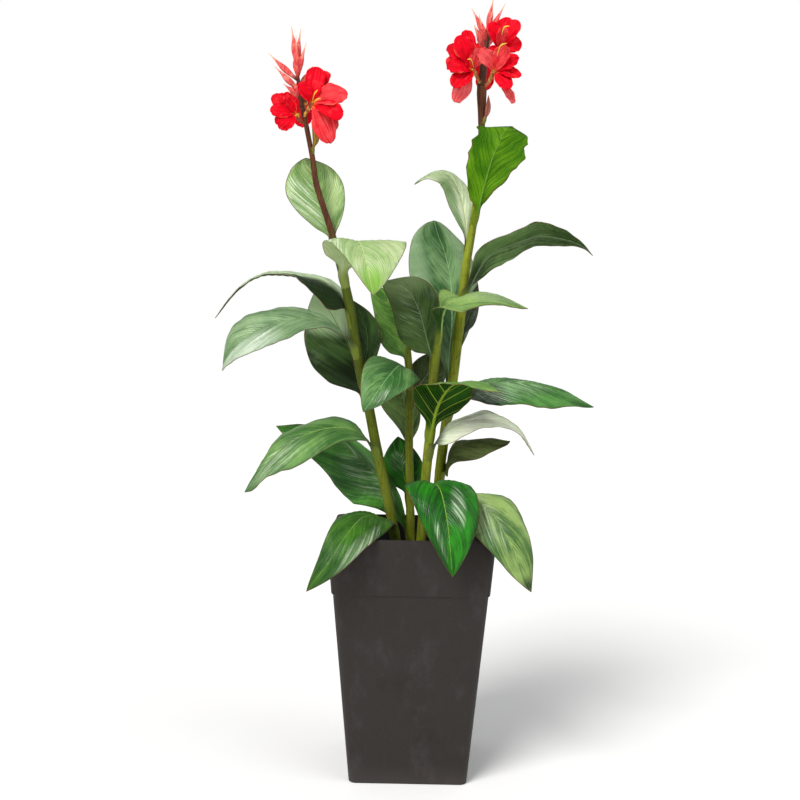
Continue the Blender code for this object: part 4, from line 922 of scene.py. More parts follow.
# Leaves
class Blade:
    """The middle surface of a leaf, read at any place along and across it."""

    STEPS = 320
    TANGENT_STEPS = 12

    def __init__(self, name):
        leaf = LEAVES[name]
        self.leaf = leaf
        self.look = LOOKS[name]
        z0, z1 = leaf["foot"][0] * MM, leaf["foot"][1] * MM
        free = [Vector(p) * MM for p in leaf["rib"]]
        out = free[0] - stem_at(leaf["stem"], z1)[0]
        if "out" in leaf:
            out = Vector((*leaf["out"], 0))
        out.z = 0
        self.out = out.normalized()
        feet = []
        for z in (z0, z1):
            centre, self.radius = stem_at(leaf["stem"], z)
            feet.append(centre + self.out * (self.radius + SHEATH_ROOM + BLADE / 2))
        self.path = spline(feet + free, self.STEPS + 1)
        total = sum((b - a).length for a, b in zip(self.path, self.path[1:]))
        self.split = (z1 - z0) / total
        self.length = total * (1 - self.split)
        self.seed = leaf["wave"][2]
        self.phase = {side: random.Random(self.seed * 7 + side).random() for side in (1, 2)}
        self.slant = self.look.get("slant", VEIN_SLANT)

    def rib(self, along):
        """The midrib's place and direction."""
        x = along * self.STEPS
        i = min(int(x), self.STEPS - 1)
        here = self.path[i].lerp(self.path[i + 1], x - i)
        back = max(i - self.TANGENT_STEPS, 0)
        ahead = min(i + self.TANGENT_STEPS + 1, self.STEPS)
        return here, (self.path[ahead] - self.path[back]).normalized()

    def width(self, t):
        """The half width as a share of the widest."""
        peak = self.leaf["peak"]
        warped = t ** (math.log(0.5) / math.log(peak)) if t > 0 else 0
        blunt = self.look.get("blunt", self.leaf.get("blunt", OUTLINE_POWER))
        power = blunt if t > peak else OUTLINE_POWER
        full = max(math.sin(math.pi * warped), 0) ** power
        least = LEAST_WIDTH_BASE if t < 0.5 else LEAST_WIDTH_TIP
        return max(full * (1 - self.leaf.get("taper", 0) * t**4), least)

    def vein_line(self, t, a):
        """Where the side vein through this place leaves the midrib."""
        return t - self.slant * a**VEIN_CURVE

    def lift(self, t, s, width, reach, pleat):
        """How far the blade stands off its plane: hollow, waves, pleats and lumps."""
        a = abs(s)
        right = s > 0
        size, waves, seed = self.leaf["wave"]
        lift = self.leaf["cup"] * width * 4 * a * (1 - a)
        turns = waves * t + self.phase[1 if right else 2]
        lift += size * math.sin(2 * math.pi * turns) * a * a * math.sqrt(width)
        lift *= MM
        if reach > LUMPS_FROM:
            q = self.vein_line(t, a)
            full = min(reach / FULL_LUMPS, 1)
            pleats = math.sin(2 * math.pi * q * self.length / PLEAT_LENGTH)
            lift += pleat * pleats * full * (1 - a**6)
            lump = noise.noise(Vector((q * self.length * 40, s * 1.6, seed * 3.7)))
            lift += LUMP_HEIGHT * lump * full
            side = 9.0 if right else 2.0
            margin = noise.noise(Vector((t * self.length * 42, seed * 5.3, side)))
            lift += MARGIN_LUMP_HEIGHT * margin * a**4 * full
        return lift

    def spread(self, t, s, width):
        """How far out this place is, as a share of the widest half width, nicks included."""
        a = abs(s)
        right = s > 0
        if "outline" in self.look:
            width *= along_table(self.look["outline"][1 if right else 0], t)
        ragged = self.look.get("ragged", 0.0) * t * a
        side = 4.0 if right else 11.0
        nick = abs(noise.noise(Vector((t * 7.0, a * 0.8, self.seed + side))))
        return width * a * (1 - ragged * nick)

    def point(self, along, s, pleat):
        """The place along and across the leaf, and the half width there."""
        leaf = self.leaf
        here, tangent = self.rib(along)
        t = clamped((along - self.split) / (1 - self.split))
        start, end = leaf.get("turn", (0.30, 0.70))
        mix = clamped((t - start) / (end - start))
        left = Vector(leaf["left"][0]).lerp(Vector(leaf["left"][1]), mix)
        right = Vector(leaf["right"][0]).lerp(Vector(leaf["right"][1]), mix)
        offset = (right if s > 0 else left) * MM
        up = (right - left).cross(tangent).normalized()
        width = self.width(t)
        reach = offset.length * width
        lift = self.lift(t, s, width, reach, pleat)
        blade = here + offset * self.spread(t, s, width) + up * lift
        side = self.out.cross(tangent).normalized()
        inward = side.cross(tangent).normalized()
        wrap = leaf.get("wrap", FOOT_WRAP)
        angle = s * math.radians(wrap * (1 - 0.25 * smooth_step(t * 12)))
        grown = smooth_step(along / self.split)
        gap = SHEATH_ROOM * grown - FOOT_SUNK * (1 - grown)
        bend = self.radius + gap
        root = here + inward * (SHEATH_ROOM - gap)
        arc = root + side * (bend * math.sin(angle)) + inward * (bend * (1 - math.cos(angle)))
        share = smooth_step(t / FOOT_JOIN)
        half = bend * abs(math.radians(wrap)) * (1 - share) + reach * share
        return clear_of_stem(leaf["stem"], arc.lerp(blade, share), gap), half


def leaf_material(name, blade, look, face):
    """A blade's colour, with side veins that leave the midrib and curve on towards the tip."""
    sizes = settings().leaf
    upper = face == "upper"
    net = Net(name, sizes.roughness, look.get("sheen", 0.36) * (1.0 if upper else 0.5))
    u, v = net.map("blade")
    t = (v - blade.split) / (1 - blade.split)
    a = abs(u * 2 - 1)
    q = t - a**VEIN_CURVE * blade.slant
    fine_q = q * (blade.length / FINE_VEIN_GAP)
    seed = blade.seed * 1.37

    def drawn_out(along, across, shift, detail, rough=0.5):
        """Noise in streaks that follow the side veins."""
        return net.noise(net.vector(fine_q * along, u * across, seed + shift), 1.0, detail, rough)

    def beat(veins):
        """1 on a vein and 0 halfway to the next."""
        return abs(net.maths("FRACT", veins) - 0.5) * 2

    def away(across, along, wide, long):
        """The squared distance from the middle of a patch, 1 at its edge."""
        return ((u - across) * (1 / wide)) ** 2 + ((t - along) * (1 / long)) ** 2

    broad = drawn_out(0.07, 1.5, 0, 2.0)
    streak = drawn_out(0.45, 2.6, 2, 3.0, 0.6)
    fine = drawn_out(1.5, 4.0, 4, 2.0)
    short = drawn_out(0.85, 8.0, 6, 3.0, 0.6)
    cloud = net.noise(net.here(), 20.0, 3.0)

    # Light and dark streaks with short flecks
    dark, light = (leaf_tone(c) for c in look[face])
    deep = leaf_tone(tuple(c * 0.62 for c in look[face][0]))
    mottle = broad * 0.60 + cloud * 0.40 + (streak - 0.5) * 0.36 + (fine - 0.5) * 0.22
    colour = net.mix(net.step(mottle, 0.36, 0.66), dark, light)
    fleck = look.get("fleck", 0.50)
    colour = net.mix(net.step(short, 0.54, 0.66) * fleck, colour, deep)
    colour = net.mix((1 - net.step(short, 0.36, 0.46)) * fleck * 0.7, colour, light)

    # Side veins with finer ones between them
    vein_paint = leaf_tone(look["vein"])
    between = beat(q * (blade.length / look.get("gap", sizes.vein_gap)))
    vein = net.step(between, look.get("bold", 0.80), 0.97) * (1 - a * 0.55)
    thread = net.step(beat(fine_q * 0.8), 0.72, 1.0)
    colour = net.mix(thread * 0.32, colour, vein_paint)
    colour = net.mix(vein * look["show"] * net.step(streak, 0.20, 0.55), colour, vein_paint)

    # Patches of painted shade and painted sheen, some of them the leaf's own tone, and pale painted
    # highlights
    for side, across, along, wide, long, strength, tone in look.get("patches", []):
        if side == face:
            place = away(across, along, wide, long) + (streak - 0.5) * 0.7
            patch = (1 - net.step(place, 0.25, 1.1)) * strength
            colour = net.mix(patch, colour, leaf_tone(tone))
    # Pale painted highlights, in streaks that follow the veins, inside each highlight patch
    gloss = net.step(streak * 0.6 + fine * 0.6, 0.60, 0.72)
    highlight_share = None
    for across, along, wide, long, strength in look.get("painted_highlight", []) if upper else []:
        patch = (1 - net.step(away(across, along, wide, long), 0.1, 1.0)) * strength
        highlight_share = patch if highlight_share is None else net.maths("MAXIMUM", highlight_share, patch)
    if highlight_share is not None:
        shine = net.clamp(highlight_share * (gloss * 0.90 + 0.10))
        colour = net.mix(shine, colour, leaf_tone(PAINTS["leaf_painted_highlight"]))

    # Midrib, brown margin and yellow foot
    rib_half = (1 - t * 0.75) * RIB_HALF[face] * look.get("rib_wide", 1.0)
    rib = 1 - net.step(net.attribute("from_rib") / rib_half, 0.35, 1.0)
    colour = net.mix(rib * (0.85 if upper else 0.9), colour, leaf_tone(look["rib"]))
    width = MARGIN_WIDTH * look.get("edge_wide", 1.0)
    margin = 1 - net.step(net.attribute("edge"), width * 0.35, width)
    margin = margin * net.step(cloud, 0.30, 0.52)
    colour = net.mix(margin * 0.8, colour, leaf_tone(PAINTS["leaf_margin"]))
    foot = 1 - net.step(t, -0.03, 0.08)
    colour = net.mix(foot * 0.8, colour, leaf_tone(PAINTS["leaf_foot"]))

    height = streak * 0.6 + fine * 0.5 - net.step(between, 0.55, 1.0) * 0.7 - thread * 0.25
    height = height - rib * 0.6 if upper else rib * 1.2 - height * 0.8
    net.bump(height, 0.0020, 0.70)
    rough = sizes.roughness + (0.0 if upper else 0.16) + (0.5 - fine) * 0.25
    return net.finish(colour, net.clamp(rough))


def leaf_sheet(name, blade, rows, columns, thickness, rib, materials):
    """A waved blade from a grid, with its thickness and its midrib ridge underneath."""
    pleat = settings().leaf.pleat
    bm = bmesh.new()
    bmesh.ops.create_grid(bm, x_segments=columns, y_segments=rows, size=1)
    uv = bm.loops.layers.uv.new("blade")
    edge = bm.verts.layers.float.new("edge")
    from_rib = bm.verts.layers.float.new("from_rib")
    deform = bm.verts.layers.deform.new()
    places = {}
    for vert in bm.verts:
        s = math.copysign(abs(vert.co.x) ** 1.25, vert.co.x)
        places[vert] = ((vert.co.y + 1) / 2, s)
    for face in bm.faces:
        for loop in face.loops:
            along, s = places[loop.vert]
            loop[uv].uv = ((s + 1) / 2, along)
    for vert, (along, s) in places.items():
        vert.co, half = blade.point(along, s, pleat)
        vert[edge] = (1 - abs(s)) * half
        vert[from_rib] = abs(s) * half
        t = (along - blade.split) / (1 - blade.split)
        ridge = smooth_step((t - 0.04) * 6) * (1 - 0.75 * max(t, 0))
        near = math.exp(-((abs(s) * half / RIB_RIDGE_HALF) ** 2))
        vert[deform][0] = (thickness + (rib - thickness) * ridge * near) / rib
    obj = new_object(name, bm, materials)
    obj.vertex_groups.new(name="thickness")
    solid = obj.modifiers.new("thickness", "SOLIDIFY")
    solid.thickness = rib
    solid.offset = -0.6
    solid.use_even_offset = False
    solid.vertex_group = "thickness"
    solid.material_offset = 1
    solid.material_offset_rim = 0
    apply_modifiers(obj)
    return obj


def make_leaf(name, rows, columns):
    sizes = settings().leaf
    blade = Blade(name)
    materials = [
        leaf_material(f"{name}_{face}", blade, LOOKS[name], face) for face in ("upper", "under")
    ]
    rib = BRACT_RIB if name.startswith("bract") else sizes.rib
    obj = leaf_sheet(name + "_blade", blade, rows, columns, sizes.thickness, rib, materials)
    shown_as(obj, name)


# Round pieces
def tube(bm, rows, sides, shape=None):
    """A closed tube through rows of centre and radius; shape may change the radius round it."""
    ring = bmesh.ops.create_circle(bm, cap_ends=True, radius=1, segments=sides)["verts"]
    flat = {vert: vert.co.copy() for vert in ring}
    face = ring[0].link_faces[0]
    for i, (centre, radius) in enumerate(rows):
        before = rows[max(i - 1, 0)][0]
        after = rows[min(i + 1, len(rows) - 1)][0]
        turn = Vector((0, 0, 1)).rotation_difference(after - before).to_matrix()
        if i:
            made = bmesh.ops.extrude_face_region(bm, geom=[face])["geom"]
            if i > 1 and face.is_valid:
                bmesh.ops.delete(bm, geom=[face], context="FACES_ONLY")
            face = next(g for g in made if isinstance(g, bmesh.types.BMFace))
            below = {}
            for vert in face.verts:
                others = (edge.other_vert(vert) for edge in vert.link_edges)
                below[vert] = next(flat[other] for other in others if other in flat)
            flat = below
        for vert, place in flat.items():
            extra = shape(centre, place) if shape else 0.0
            vert.co = centre + turn @ (place * (radius + extra))


def stem_material():
    colours = settings().stem
    net = Net("stem_skin", 0.44, 0.14)
    x, y, z = net.split(net.here())
    streak = net.noise(net.vector(x * 9, y * 9, z * 0.55), 32.0, 3.0, 0.6)
    spot = net.noise(net.vector(x, y, z * 0.6), 210.0, 2.0)
    cloud = net.noise(net.vector(x, y, z * 0.4), 26.0, 2.0)
    band = net.noise(net.vector(x * 0.6, y * 0.6, z * 3.0), 14.0, 3.0, 0.7)
    green = tuple(colours.green) + (1.0,)
    brown = tuple(colours.brown) + (1.0,)
    colour = net.mix(net.step(streak, 0.40, 0.68), green, paint("stem_shade"))
    colour = net.mix(net.step(cloud, 0.46, 0.72) * 0.6, colour, paint("stem_light"))
    # Painted shade: each stem darker green, more so higher up
    colour = net.mix(net.attribute("deep"), colour, paint("stem_painted_shade"))
    stalk = net.mix(net.step(streak, 0.35, 0.65), brown, paint("stalk_shade"))
    share = net.attribute("brown")
    colour = net.mix(net.clamp(share + (cloud - 0.5) * share * (1 - share) * 6), colour, stalk)
    colour = net.mix(net.step(spot, 0.62, 0.72) * 0.75, colour, paint("stem_spot"))
    colour = net.mix(net.step(band, 0.56, 0.72) * 0.45, colour, paint("stem_band"))
    colour = net.mix(net.attribute("lip") * 0.7, colour, paint("stem_lip"))
    colour = net.mix(net.attribute("pale") * 0.55, colour, paint("stem_foot"))
    net.bump(streak * 0.7 + spot * 0.4, 0.0006, 0.6)
    return net.finish(colour, 0.36 + streak * 0.22)


def stem_rows(name):
    """Close rows of centre and radius along a stem, with its bends eased."""
    rows = STEMS[name]
    low, high = rows[0][2], rows[-1][2]
    count = int((high - low) / STEM_ROW)
    exact = [stem_at(name, (low + (high - low) * i / count) * MM) for i in range(count + 1)]
    eased = []
    for i in range(count + 1):
        near = exact[max(i - STEM_EASE, 0) : i + STEM_EASE + 1]
        if i <= STEM_EASE or i >= count - STEM_EASE:
            near = [exact[i]]
        middle = sum((centre for centre, _ in near), Vector()) / len(near)
        eased.append((middle, sum(radius for _, radius in near) / len(near)))
    return eased


def make_stem(name, look):
    rows = STEMS[name]
    step = settings().stem.sheath
    feet = []
    for leaf_name, leaf in LEAVES.items():
        if leaf["stem"] == name:
            out = Blade(leaf_name).out
            feet.append((leaf["foot"][1] * MM, math.atan2(out.y, out.x)))
    feet.sort()

    def sheath(height, place):
        """1 under a sheath and 0 above its slanting edge, for the sheath that this height is in."""
        around = math.atan2(place.y, place.x)
        best = 0.0
        for top, side in feet:
            away = abs((around - side + math.pi) % (2 * math.pi) - math.pi) / math.pi
            below = top - SHEATH_SLOPE * away**1.5 - height
            best = max(best, smooth_step(below / SHEATH_EDGE) if below < SHEATH_LENGTH else 0.0)
        return best

    def shape(centre, place):
        """Fine ribs round the stem and the step at each sheath's edge, smooth in the soil."""
        around = math.atan2(place.y, place.x)
        ribs = 0.00018 * math.sin(9 * around + 1.0) + 0.0001 * math.sin(17 * around)
        fade = smooth_step((centre.z - (SOIL_TOP + 0.012)) / 0.02)
        return (ribs + step * sheath(centre.z, place)) * fade

    bm = bmesh.new()
    tube(bm, stem_rows(name), settings().stem.sides, shape)
    layers = bm.verts.layers.float
    brown, lip, pale, deep = (layers.new(key) for key in ("brown", "lip", "pale", "deep"))
    low, high = BROWN_FROM.get(name, NEVER_BROWN)
    pale_low, pale_high = PALE_FOOT.get(name, USUAL_PALE_FOOT)
    for vert in bm.verts:
        z = vert.co.z
        centre, _ = stem_at(name, min(max(z, rows[0][2] * MM), rows[-1][2] * MM))
        under = sheath(z, vert.co - centre)
        vert[brown] = smooth_step((z - low) / (high - low))
        # Painted shade, growing from 0.65 m to 0.85 m up
        vert[deep] = STEM_PAINTED_SHADE[name] * (0.55 + 0.45 * smooth_step((z - 0.65) / 0.2))
        vert[lip] = 4 * under * (1 - under)
        vert[pale] = 1 - smooth_step((z - pale_low) / (pale_high - pale_low))
    bmesh.ops.recalc_face_normals(bm, faces=bm.faces)
    shown_as(new_object(name + "_stalk", bm, [look]), name)


# Flower heads
def petal_material():
    colours = settings().bloom
    net = Net("petal_skin", 0.50, 0.06)
    u, v = net.map("petal")
    a = abs(u * 2 - 1)
    here = net.here()
    line = net.noise(net.vector(u * 13, v * 1.3, net.attribute("draw")), 2.0, 3.0, 0.6)
    cloud = net.noise(here, 52.0, 3.0)
    fold_shade = net.noise(here, 24.0, 2.0)
    speck = net.noise(here, 240.0, 2.0)
    petal, shade, throat = (
        tuple(c) + (1.0,) for c in (colours.petal, colours.shade, colours.throat)
    )
    colour = net.mix(net.step(line * 0.6 + fold_shade * 0.4, 0.36, 0.60), shade, petal)
    colour = net.mix(net.step(cloud, 0.54, 0.74) * 0.45, colour, paint("petal_bright"))
    # Painted shade: deep red patches stand for the shade in the petals' folds
    colour = net.mix(net.step(fold_shade, 0.52, 0.66) * 0.34, colour, paint("petal_fold_shade"))
    sheen = net.step(cloud + line * 0.4, 0.78, 0.95) * net.step(v, 0.35, 0.75)
    colour = net.mix(sheen * 0.25, colour, paint("petal_sheen"))
    pale = net.attribute("pale") * net.step(line + cloud * 0.5, 0.45, 0.95)
    colour = net.mix(pale, colour, paint("petal_pale"))
    edge = net.step(a, 0.95, 1.0) * net.step(cloud, 0.46, 0.66)
    colour = net.mix(edge * 0.5, colour, paint("petal_edge"))
    root = 1 - net.step(v + line * 0.16 + a * 0.14, 0.12, 0.34)
    colour = net.mix(root * 0.85, colour, throat)
    net.bump(line * 0.8 + cloud * 0.5 + speck * 0.1, 0.0010, 0.6)
    return net.finish(colour, 0.40 + line * 0.2)


def petal_half(t, half):
    """A petal's half width at t: narrow at the root, broad past the middle, rounded at the tip."""
    at = 0.04 + 0.86 * t
    warped = at ** (math.log(0.5) / math.log(PETAL_PEAK))
    power = 0.6 if at > PETAL_PEAK else 0.85
    return max(half * max(math.sin(math.pi * warped), 0) ** power, PETAL_LEAST_HALF) * MM


def petal_wave(t, s, phase, ruffle):
    """How far a petal's surface stands off: broad waves, edge ruffles, creases and veins."""
    wave = 1.8 * MM * s * s * math.sin(2 * math.pi * (1.5 * t + phase)) * t
    wave += ruffle * abs(s) ** 3 * math.sin(2 * math.pi * (4.2 * t + phase * 2 + 0.3 * s)) * t
    crease = noise.noise(Vector((s * 2.2, t * 2.0, phase * 40)))
    crumple = noise.noise(Vector((s * 4.6, t * 4.2, phase * 40 + 9)))
    wave += (0.0036 * crease + 0.0020 * crumple) * min(t * 2, 1)
    return wave + 0.0007 * math.sin(s * 15 + phase * 9) * (1 - abs(s)) * min(t * 3, 1)


def add_petal(bm, layers, throat, petal, name, ruffle, paleness):
    """One petal from the throat to its tip, narrow at first, then broad with a ruffled edge."""
    tip, look, half, curl = petal
    tip, look = Vector(tip) * MM, Vector(look).normalized()
    along = tip - throat
    right = along.cross(look).normalized()
    up = right.cross(along).normalized()
    draw = random.Random(name)
    phase, tilt = draw.random(), draw.uniform(-1, 1)
    grid = bmesh.ops.create_grid(bm, x_segments=PETAL_COLUMNS, y_segments=PETAL_ROWS, size=1)
    places = {vert: ((vert.co.y + 1) / 2, vert.co.x) for vert in grid["verts"]}
    uv, seed, pale = layers
    for face in {face for vert in places for face in vert.link_faces}:
        for loop in face.loops:
            t, s = places[loop.vert]
            loop[uv].uv = ((s + 1) / 2, t)
    for vert, (t, s) in places.items():
        lobe = 1 + 0.07 * math.sin(9 * t + phase * 6) * abs(s)
        width = petal_half(t, half) * lobe
        wave = petal_wave(t, s, phase, ruffle)
        lift = up * (curl * MM * (math.sin(math.pi * t) - 0.9 * t * t))
        round_tip = width * 0.42 * (1 - s * s) * t**4
        turn = Matrix.Rotation(math.radians(PETAL_TWIST) * tilt * t, 3, along)
        across = turn @ right * (width * s)
        hollow = up * (wave + 0.35 * width * s * s * (1 - 0.6 * t))
        tip_shift = along.normalized() * (round_tip - width * 0.20 * t**4)
        vert.co = throat + along * t + across + lift + hollow + tip_shift
        vert[seed] = phase * 20
        vert[pale] = paleness


def stalk_beside(name, foot):
    """The place on the stalk, just under its skin, from which a bloom's tube grows."""
    below, sunk = 4, 1
    side = name.split("_")[1]
    height = foot.z / MM - below
    rows = STEMS["stem_" + side] + HEADS["buds_" + side]["axis"]
    for low, high in zip(rows, rows[1:]):
        if low[2] <= height <= high[2]:
            u = (height - low[2]) / (high[2] - low[2])
            x, y, z, radius = (a + (b - a) * u for a, b in zip(low, high))
            centre = Vector((x, y, z)) * MM
            away = Vector((foot.x - centre.x, foot.y - centre.y, 0)).normalized()
            return centre + away * (radius - sunk) * MM
    raise ValueError("no stalk beside " + name)


def dress_new_faces(bm, first, slot):
    """Gives the faces that were added after the first ones their material."""
    bm.faces.ensure_lookup_table()
    for face in bm.faces[first:]:
        face.material_index = slot
        face.smooth = True


def make_bloom(name, petal_look, stamen_look, cup_look):
    bloom = BLOOMS[name]
    sizes = settings().bloom
    throat, foot = Vector(bloom["throat"]) * MM, Vector(bloom["foot"]) * MM
    bm = bmesh.new()
    numbers = bm.verts.layers.float
    layers = bm.loops.layers.uv.new("petal"), numbers.new("draw"), numbers.new("pale")
    for k, petal in enumerate(bloom["petals"]):
        paleness = PALE_PETALS.get(name, {}).get(k, 0.0)
        add_petal(bm, layers, throat, petal, f"{name}_petal_{k}", sizes.ruffle, paleness)
    obj = new_object(name + "_petals", bm, [petal_look, stamen_look, cup_look])
    solid = obj.modifiers.new("thickness", "SOLIDIFY")
    solid.thickness = sizes.thickness
    solid.offset = 0
    solid.use_even_offset = False
    apply_modifiers(obj)

    bm = bmesh.new()
    bm.from_mesh(obj.data)
    first = len(bm.faces)
    inside = throat + (throat - foot) * TUBE_INSIDE
    line = [stalk_beside(name, foot), foot, foot.lerp(throat, 0.55), inside]
    rows = [
        (place, TUBE_THIN + TUBE_FLARE * (i / (TUBE_ROWS - 1)) ** 2)
        for i, place in enumerate(spline(line, TUBE_ROWS))
    ]
    tube(bm, rows, TUBE_SIDES)
    dress_new_faces(bm, first, 2)
    first = len(bm.faces)
    for *line, size in STAMENS.get(name, []):
        places = spline([Vector(place) * MM for place in line], len(STAMEN_SHAPE))
        tube(bm, [(p, size * MM * w) for p, w in zip(places, STAMEN_SHAPE)], STAMEN_SIDES)
    dress_new_faces(bm, first, 1)
    bm.to_mesh(obj.data)
    bm.free()
    shown_as(obj, name)


def bud_material():
    net = Net("bud_skin", 0.48, 0.2)
    t = net.attribute("along")
    here = net.here()
    x, y, z = net.split(here)
    streak = net.noise(net.vector(x * 6, y * 6, z * 0.8), 60.0, 3.0, 0.6)
    cloud = net.noise(here, 60.0, 2.0)
    main = tuple(settings().bloom.bud) + (1.0,)
    colour = net.mix(net.step(streak, 0.36, 0.66), paint("bud_shade"), main)
    tip = net.step(t + (streak - 0.5) * 0.4, 0.62, 1.0)
    colour = net.mix(tip * 0.85, colour, paint("bud_tip"))
    colour = net.mix(net.step(cloud, 0.52, 0.70) * 0.5, colour, paint("bud_light"))
    root = 1 - net.step(t, 0.02, 0.22)
    colour = net.mix(root, colour, paint("bud_root"))
    colour = net.mix(net.attribute("axis"), colour, paint("bud_axis"))
    net.bump(streak, 0.0007, 0.6)
    return net.finish(colour, 0.40 + streak * 0.14)


def bud_radius(t, size):
    """A bud's radius at t: a swelling below its middle, then a long thin point."""
    swell = 0.38 + 0.62 * math.exp(-(((t - 0.42) / 0.26) ** 2))
    return size * MM * swell * (1 - smooth_step((t - 0.45) / 0.6)) + 0.0004


def make_buds(name, look):
    head = HEADS[name]
    bm = bmesh.new()
    along, axis = (bm.verts.layers.float.new(key) for key in ("along", "axis"))
    line = spline([Vector(row[:3]) * MM for row in head["axis"]], AXIS_ROWS)
    radii = spline([Vector((row[3], 0, 0)) for row in head["axis"]], AXIS_ROWS)
    tube(bm, [(p, r.x * MM) for p, r in zip(line, radii)], AXIS_SIDES,
         lambda centre, place: 0.0004 * math.sin(4 * math.atan2(place.y, place.x)))
    for vert in bm.verts:
        vert[axis] = 1.0
    for k, (root, tip, size) in enumerate(head["buds"]):
        draw = random.Random(f"{name}_{k}")
        root, tip = Vector(root) * MM, Vector(tip) * MM
        side = (tip - root).cross(Vector([draw.uniform(-1, 1) for _ in range(3)]))
        middle = root.lerp(tip, 0.5) + side.normalized() * (BUD_BEND * draw.uniform(0.3, 1))
        places = spline([root, middle, tip], BUD_ROWS)
        rows = [(place, bud_radius(i / (BUD_ROWS - 1), size)) for i, place in enumerate(places)]
        spin = draw.uniform(0, 6)
        known = set(bm.verts)
        tube(bm, rows, BUD_SIDES,
             lambda centre, place: 0.0005 * math.cos(3 * math.atan2(place.y, place.x) + spin))
        reach = (tip - root).length
        for vert in bm.verts:
            if vert not in known:
                vert[along] = clamped((vert.co - root).dot(tip - root) / reach**2)
    bmesh.ops.recalc_face_normals(bm, faces=bm.faces)
    shown_as(new_object(name + "_spray", bm, [look]), name)


def cup_material():
    """The tube under a bloom, in streaks of brown and ochre with darker stains."""
    net = Net("cup_skin", 0.5, 0.3)
    here = net.here()
    streak = net.noise(here, 120.0, 3.0)
    cloud = net.noise(here, 50.0, 2.0)
    colour = net.mix(net.step(streak, 0.40, 0.62), paint("cup_shade"), paint("cup_light"))
    colour = net.mix(net.step(cloud, 0.50, 0.66) * 0.7, colour, paint("cup_stain"))
    net.bump(streak, 0.0005, 0.5)
    return net.finish(colour, 0.42 + cloud * 0.15)


def stamen_material():
    net = Net("stamen_skin", 0.5)
    grain = net.noise(net.here(), 300.0, 3.0)
    net.bump(grain, 0.0004, 0.5)
    colour = net.mix(grain, paint("stamen_shade"), paint("stamen_light"))
    return net.finish(colour, 0.45 + grain * 0.15)


# Planter and soil
def rounded_slice(bm, half, corner, segments):
    """A thin square slice with rounded corners on the ground; its top face is handed back."""
    matrix = Matrix.Diagonal((half, half, FIRST_SLICE, 1))
    bmesh.ops.create_cube(bm, size=2, matrix=matrix)
    upright = [e for e in bm.edges if abs(e.verts[0].co.z - e.verts[1].co.z) > FIRST_SLICE]
    bmesh.ops.bevel(
        bm, geom=upright, offset=corner, segments=segments, profile=0.5, affect="EDGES", material=-1
    )
    for vert in bm.verts:
        vert.co.z = 0 if vert.co.z < 0 else FIRST_SLICE
    return max(bm.faces, key=lambda f: (f.calc_center_median().z, f.calc_area()))


def set_face(face, z, scale):
    for vert in face.verts:
        vert.co.x *= scale
        vert.co.y *= scale
        vert.co.z = z


def raise_face(bm, face, z, scale):
    made = bmesh.ops.extrude_face_region(bm, geom=[face])["geom"]
    if face.is_valid:
        bmesh.ops.delete(bm, geom=[face], context="FACES_ONLY")
    face = next(g for g in made if isinstance(g, bmesh.types.BMFace))
    set_face(face, z, scale)
    return face


def round_edges(bm, chosen, radius):
    """Rounds the folded edges whose upper end's height is chosen."""
    edges = [
        e for e in bm.edges
        if len(e.link_faces) == 2 and e.calc_face_angle() > FOLD_ANGLE
        and chosen(max(v.co.z for v in e.verts))
    ]
    bmesh.ops.bevel(
        bm, geom=edges, offset=radius, segments=EDGE_SEGMENTS, profile=0.5, affect="EDGES",
        material=-1,
    )


def is_inside(place):
    """Whether a place of the planter is on its inner wall or floor."""
    share = clamped((place.z - BAND_BOTTOM) / (PLANTER_HEIGHT - BAND_BOTTOM))
    wall = PLANTER_HALF_BAND + (PLANTER_HALF_TOP - PLANTER_HALF_BAND) * share
    reach = max(abs(place.x), abs(place.y))
    on_wall = BAND_BOTTOM < place.z < PLANTER_HEIGHT - 0.0012
    on_floor = FLOOR / 2 < place.z < 0.02
    return (on_wall or on_floor) and reach < wall - WALL * 0.7


def planter_material():
    net = Net("planter_skin", 0.6, 0.3)
    here = net.here()
    x, y, z = net.split(here)
    cloud = net.noise(here, 5.0, 4.0, 0.6)
    smudge = net.noise(net.vector(x, y, z * 0.5), 22.0, 5.0, 0.65)
    stain = net.noise(here, 9.0, 4.0, 0.7)
    grain = net.noise(here, 900.0, 3.0)
    pit = net.noise(here, 260.0, 2.0)
    fleck = net.noise(here, 420.0, 1.0)
    main = tuple(settings().planter.colour) + (1.0,)
    colour = net.mix(net.step(cloud, 0.30, 0.70), paint("planter_shade"), main)
    colour = net.mix(net.step(smudge, 0.50, 0.75) * 0.45, colour, paint("planter_smudge"))
    colour = net.mix(net.step(stain, 0.55, 0.72) * 0.35, colour, paint("planter_stain"))
    colour = net.mix(net.step(fleck, 0.70, 0.76) * 0.25, colour, paint("planter_fleck"))
    # Painted shade: the inner wall and floor are painted near black
    colour = net.mix(net.attribute("inside"), colour, paint("planter_inside_shade"))
    foot = 1 - net.step(z, 0.0, 0.05)
    colour = net.mix(foot * 0.25, colour, paint("planter_foot"))
    net.bump(grain * 0.6 + pit * 0.6 + smudge * 0.5, 0.0005, 0.5)
    return net.finish(colour, 0.50 + smudge * 0.22)


